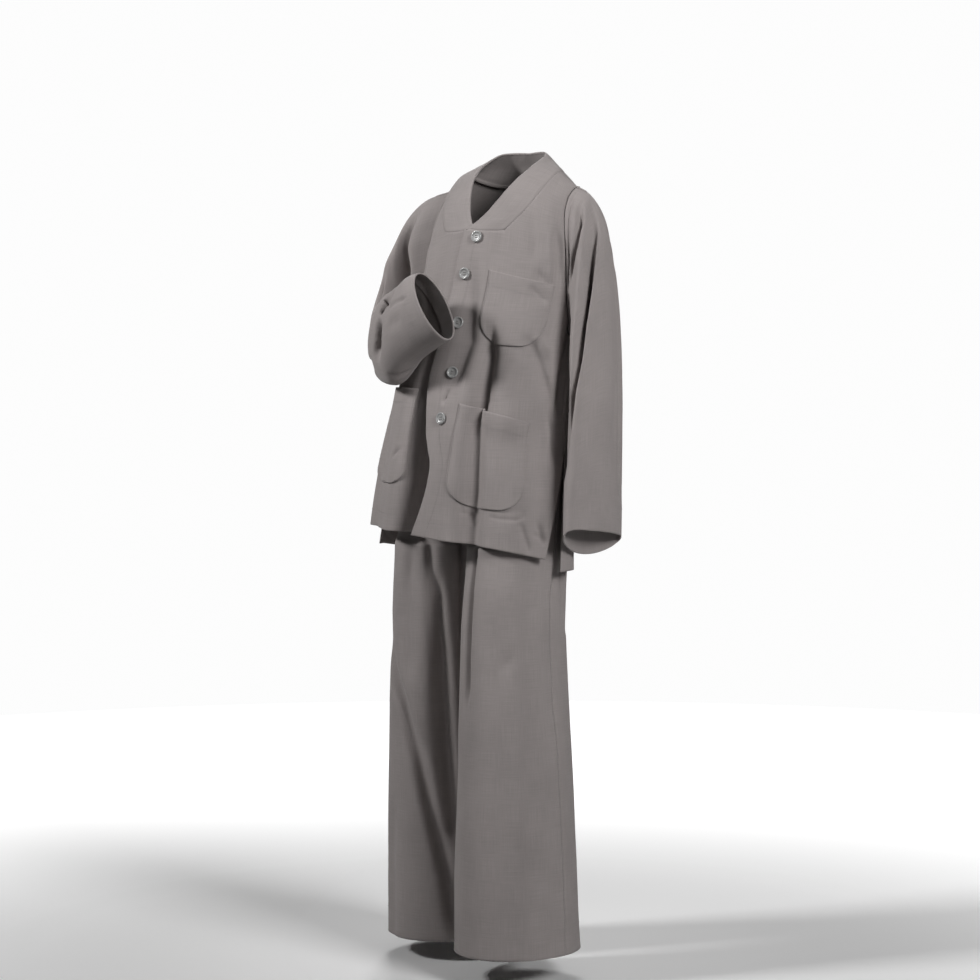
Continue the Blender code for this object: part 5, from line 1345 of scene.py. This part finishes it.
trousers = {
    "legs": {
        "left": {
            "height": (0.05, 0.3, 0.5, 0.66, 0.742, 0.9),
            "centreX": (0.115, 0.105, 0.094, 0.086, 0.081, 0.081),
            "centreY": (-0.105, -0.096, -0.086, -0.074, -0.061, -0.058),
            "halfWidth": (0.105, 0.095, 0.084, 0.079, 0.0803, 0.0803),
            "halfDepth": (0.12, 0.112, 0.105, 0.102, 0.098, 0.098),
        },
        "right": {
            "height": (0.036, 0.3, 0.5, 0.66, 0.742, 0.9),
            "centreX": (-0.113, -0.107, -0.098, -0.088, -0.083, -0.083),
            "centreY": (-0.01, -0.022, -0.036, -0.052, -0.059, -0.058),
            "halfWidth": (0.106, 0.1, 0.092, 0.084, 0.0823, 0.0823),
            "halfDepth": (0.12, 0.115, 0.112, 0.104, 0.098, 0.098),
        },
    },
    "hips": {
        "height": (0.742, 0.86, 0.95, 1.0, 1.04),
        "halfWidth": (0.163, 0.162, 0.152, 0.144, 0.142),
        "frontDepth": (0.098, 0.096, 0.094, 0.092, 0.091),
        "backDepth": (0.098, 0.105, 0.102, 0.096, 0.094),
        "centreX": (-0.001, -0.001, -0.001, -0.001, -0.001),
        "centreY": (-0.06, -0.052, -0.044, -0.038, -0.034),
    },
    "folds": {                  # angle 0 is the leg's front, 90 its outside and -90 its inseam
        "left": (
            (0.7, 0.0, 150.0, 140.0, 0.02, 0.03, -0.01),
            (0.7, 0.0, 196.0, 204.0, 0.02, 0.03, -0.009),
            (0.73, 0.3, -30.0, -34.0, 0.014, 0.02, 0.006),
        ),
        "right": (
            (0.7, 0.0, -208.0, -216.0, 0.02, 0.03, -0.01),
            (0.7, 0.0, -150.0, -160.0, 0.02, 0.03, -0.009),
        ),
    },
    "creases": {
        "left": (
            (((-12, 0.8), (-14, 0.7), (-16, 0.6), (-18, 0.46)), 0.0065, -0.013, 0.06, 0.3),
            (((98, 0.345), (70, 0.31), (54, 0.24)), 0.018, -0.0042, 0.05),
            (((84, 0.375), (66, 0.335)), 0.016, 0.0034, 0.04),
            (((40, 0.44), (40, 0.35), (46, 0.23)), 0.018, 0.004, 0.06),
            (((26, 0.66), (30, 0.4), (24, 0.16)), 0.026, -0.006, 0.1),
            (((104, 0.74), (118, 0.66), (130, 0.58)), 0.012, -0.009, 0.04, 0.3),
            (((84, 0.72), (90, 0.56), (86, 0.4)), 0.02, -0.005, 0.08),
            (((24, 0.52), (48, 0.575)), 0.014, -0.0034, 0.04),
            (((160, 0.5), (184, 0.485), (206, 0.5)), 0.01, -0.0062, 0.04),
            (((150, 0.44), (182, 0.43)), 0.01, -0.0048, 0.04),
            (((60, 0.24), (72, 0.02)), 0.024, -0.005, 0.06),
            (((170, 0.66), (176, 0.4), (170, 0.0)), 0.02, -0.008, 0.1, 0.2),
            (((228, 0.6), (236, 0.3), (232, 0.0)), 0.018, -0.007, 0.1),
        ),
        "right": (
            (((-34, 0.7), (-41, 0.55), (-43, 0.42), (-46, 0.31), (-52, 0.18)), 0.016, -0.017, 0.07, -0.3),
            (((52, 0.62), (44, 0.555), (10, 0.46), (-12, 0.36), (-26, 0.26), (-40, 0.155), (-50, 0.02)), 0.013,
             -0.014, 0.08, 0.2),
            (((-22, 0.8), (-27, 0.7), (-36, 0.6)), 0.01, -0.0075, 0.05, 0.2),
            (((-66, 0.8), (-64, 0.62), (-62, 0.44)), 0.006, -0.011, 0.05),
            (((20, 0.32), (30, 0.18), (26, 0.0)), 0.02, -0.006, 0.06),
            (((-2, 0.76), (2, 0.6), (-2, 0.48)), 0.016, -0.006, 0.06),
            (((-160, 0.5), (-184, 0.485), (-206, 0.5)), 0.01, -0.0062, 0.04),
            (((-152, 0.43), (-180, 0.42)), 0.01, -0.0048, 0.04),
            (((110, 0.62), (122, 0.36), (116, 0.0)), 0.02, -0.009, 0.1),
        ),
    },
    "radius": 0.105,
    "foldFade": 0.14,
    "lumps": ((0.12, 0.0018), (0.05, 0.0005), (0.018, 0.00012)),
    "lumpStretch": 0.55,
    "seed": 71,
    "crotchHeight": 0.742,
    "crotchRise": 0.12,
    "gathers": 26,
    "gatherDepth": 0.003,
    "gatherSway": (0.8, 7),     # how much and how often the gathers' spacing changes
    "gatherStart": (0.88, 0.1),    # height and reach of their start
    "outerGap": 0.0008,
    "top": 1.0,
    "columns": 74,
    "rows": 190,
    "hemWidth": 0.044,
    "waistband": {
        "height": 0.036,
        "length": 0.8,
        "rows": 14,
        "columns": 420,
        "thickness": 0.0026,
        "rounding": 0.0022,
        "ruffle": (0.0006, 78, 1.4, 11),    # depth and count of the elastic's gathers, their sway and count
    },
}
trousers["perDegree"] = math.radians(1.0) * trousers["radius"]


def hipPlace(side, angle, height):
    turn, hips = np.radians(angle), trousers["hips"]
    depth = np.where(np.cos(turn) > 0, tableAt(hips, "frontDepth", height),
                     tableAt(hips, "backDepth", height))
    (sway, swayCount), (start, reach) = trousers["gatherSway"], trousers["gatherStart"]
    gather = np.sin(turn * trousers["gathers"] + sway * np.sin(turn * swayCount))
    gather = trousers["gatherDepth"] * gather * ease((height - start) / reach)
    x = side * np.sin(turn) * (tableAt(hips, "halfWidth", height) + gather)
    y = -np.cos(turn) * (depth + gather)
    return np.stack([tableAt(hips, "centreX", height) + x, tableAt(hips, "centreY", height) + y,
                     height + 0 * x], axis=-1)


def legPlace(side, angle, height):
    name = "left" if side > 0 else "right"
    table, turn = trousers["legs"][name], np.radians(angle)
    halfWidth, halfDepth = tableAt(table, "halfWidth", height), tableAt(table, "halfDepth", height)
    offset = longFolds(trousers["folds"][name], angle, height, (halfWidth + halfDepth) / 2,
                       trousers["foldFade"])
    offset = offset + creases(trousers["creases"][name], angle, height, trousers["perDegree"], 1.0)
    offset = addLumps(offset, trousers["lumps"], turnBetween(angle, 0) * trousers["perDegree"],
                      height * trousers["lumpStretch"], trousers["seed"] + side)
    x = side * np.sin(turn) * (halfWidth + offset)
    y = -np.cos(turn) * (halfDepth + offset)
    return np.stack([tableAt(table, "centreX", height) + x, tableAt(table, "centreY", height) + y,
                     height + 0 * x], axis=-1)


def buildTrouserPanel(side, front):
    name = "left" if side > 0 else "right"
    hem = trousers["legs"][name]["height"][0]
    q = np.linspace(0, 1, trousers["columns"] + 1)[None, :]
    height = np.linspace(trousers["top"], hem, trousers["rows"])[::-1][:, None] + 0 * q
    rise = trousers["crotchRise"]
    closed = np.clip((trousers["crotchHeight"] + rise - height) / rise, 0, 1)
    under = (1 - np.sqrt(1 - closed**2))[..., None]
    hipAngle, legAngle = 90 * q + 0 * height, -90 + 180 * q + 0 * height
    if not front:
        hipAngle, legAngle = 180 - hipAngle, 180 - legAngle
    hip = hipPlace(side, hipAngle, np.maximum(height, trousers["crotchHeight"]))
    leg = legPlace(side, legAngle, height)
    share = np.where(height[..., None] < trousers["hips"]["height"][1], under, 0)
    points = hip + (leg - hip) * share
    points[..., 2] = height
    above = height[:, 0] >= trousers["crotchHeight"]
    centre = tableAt(trousers["hips"], "centreX", height[:, 0])
    points[above, 0, 0] = (centre + side * body["seamGap"] / 2)[above]
    way = -1 if front else 1
    points[:, 0, 1] += way * trousers["outerGap"]
    points[:, -1, 1] += way * body["seamGap"] / 2
    normals = unit(np.cross(np.gradient(points, axis=1), np.gradient(points, axis=0)))
    outward = points - (hip * (1 - share) * np.array([0, 0, 1])
                        + np.stack([tableAt(trousers["legs"][name], "centreX", height),
                                    tableAt(trousers["legs"][name], "centreY", height), height], axis=-1))
    outward[..., 2] = 0
    normals = facing(normals, outward)
    bottom = runAlong(points, 0)
    points = points + normals * (seamRoll(runAlong(points, 1)) + seamRoll(runBack(points, 1)))[..., None]
    turned = (bottom < trousers["hemWidth"]).astype(float)
    flat = np.stack([legAngle * trousers["perDegree"], height], axis=-1)
    word = ("Front" if front else "Back") + name.capitalize()
    tucks = (("first", above),) if front else (("first", None), ("last", None))
    if front and side < 0:
        tucks = ()
    piece = makeSheet("trouser" + word, points, normals, flat, turned, tucks=tucks)
    sew("trousers", points, normals, ("bottom", trousers["hemWidth"]))
    return finishPiece(piece, "cloth", f"trouser_{'front' if front else 'back'}_{name}")


def buildWaistband():
    settings = trousers["waistband"]
    rows = np.linspace(0, 1, settings["rows"])[:, None]
    angle = (360 * np.arange(settings["columns"]) / settings["columns"])[None, :] + 0 * rows
    height = trousers["top"] + body["seamGap"] + settings["height"] * rows + 0 * angle
    side = np.where(angle <= 180, 1, -1)
    points = hipPlace(side, np.where(angle <= 180, angle, 360 - angle), height)
    middle = np.array([trousers["hips"]["centreX"][-1], trousers["hips"]["centreY"][-1], 0])
    normals = points - middle
    normals[..., 2] = 0
    normals = unit(normals)
    fromMiddle = np.abs(rows * 2 - 1)
    depth, count, sway, swayCount = settings["ruffle"]
    elastic = depth * np.sin(np.radians(angle) * count + sway * np.sin(np.radians(angle) * swayCount))
    offset = elastic * (1 - fromMiddle**3) - settings["rounding"] * fromMiddle**4
    points = points + normals * offset[..., None]
    columns = np.arange(settings["columns"] + 1) * settings["length"] / settings["columns"]
    flat = np.stack([columns[None, :] + 0 * rows, rows * settings["height"] + 0 * columns[None, :]], axis=-1)
    piece = makeSheet("waistCasing", points, normals, flat, np.ones(points.shape[:2]), closed=True,
                      thickness=settings["thickness"])
    return finishPiece(piece, "cloth", "waistband")


for side, name in ((1, "Left"), (-1, "Right")):
    for front, word in ((True, "Front"), (False, "Back")):
        buildTrouserPanel(side, front)
waistbandPiece = buildWaistband()
print("trousers made")

# ---- the stitching


def stitch(built, start, end, normal, radius):
    # one stitch: a thread that rises from the cloth and goes back in
    ahead = (end - start) / max(np.linalg.norm(end - start), 1e-9)
    aside = np.cross(normal, ahead)
    top = (start + end) / 2 + normal * radius * threads["arch"]
    ring = [top + aside * radius, top + normal * radius, top - aside * radius, top - normal * radius]
    ring = [built.verts.new(p) for p in ring]
    tips = [built.verts.new(start), built.verts.new(end)]
    for k in range(4):
        n = (k + 1) % 4
        built.faces.new((ring[k], ring[n], tips[1]))
        built.faces.new((ring[n], ring[k], tips[0]))


def buildStitching(part):
    built = bmesh.new()
    for points, normals in stitchedLines[part]:
        good = ~np.isnan(points[:, 0])
        points, normals = points[good], normals[good]
        run = np.concatenate([[0], np.cumsum(np.linalg.norm(np.diff(points, axis=0), axis=1))])
        first, last = threads["margins"]
        for s in np.arange(first, run[-1] - last, threads["pitch"]):
            a = np.array([np.interp(s, run, points[:, k]) for k in range(3)])
            b = np.array([np.interp(s + threads["stitch"], run, points[:, k]) for k in range(3)])
            n = np.array([np.interp(s, run, normals[:, k]) for k in range(3)])
            stitch(built, a, b, n, threads["radius"])
    mesh = meshFrom(built, part + "Stitching")
    for vertex in mesh.vertices:
        vertex.co.z -= heldHeight
    mesh.shade_smooth()
    mesh.materials.append(sewingThread)
    finishPiece(addObject(part + "Stitching", mesh), "cloth")


for part in stitchedLines:
    buildStitching(part)
print("stitching made")
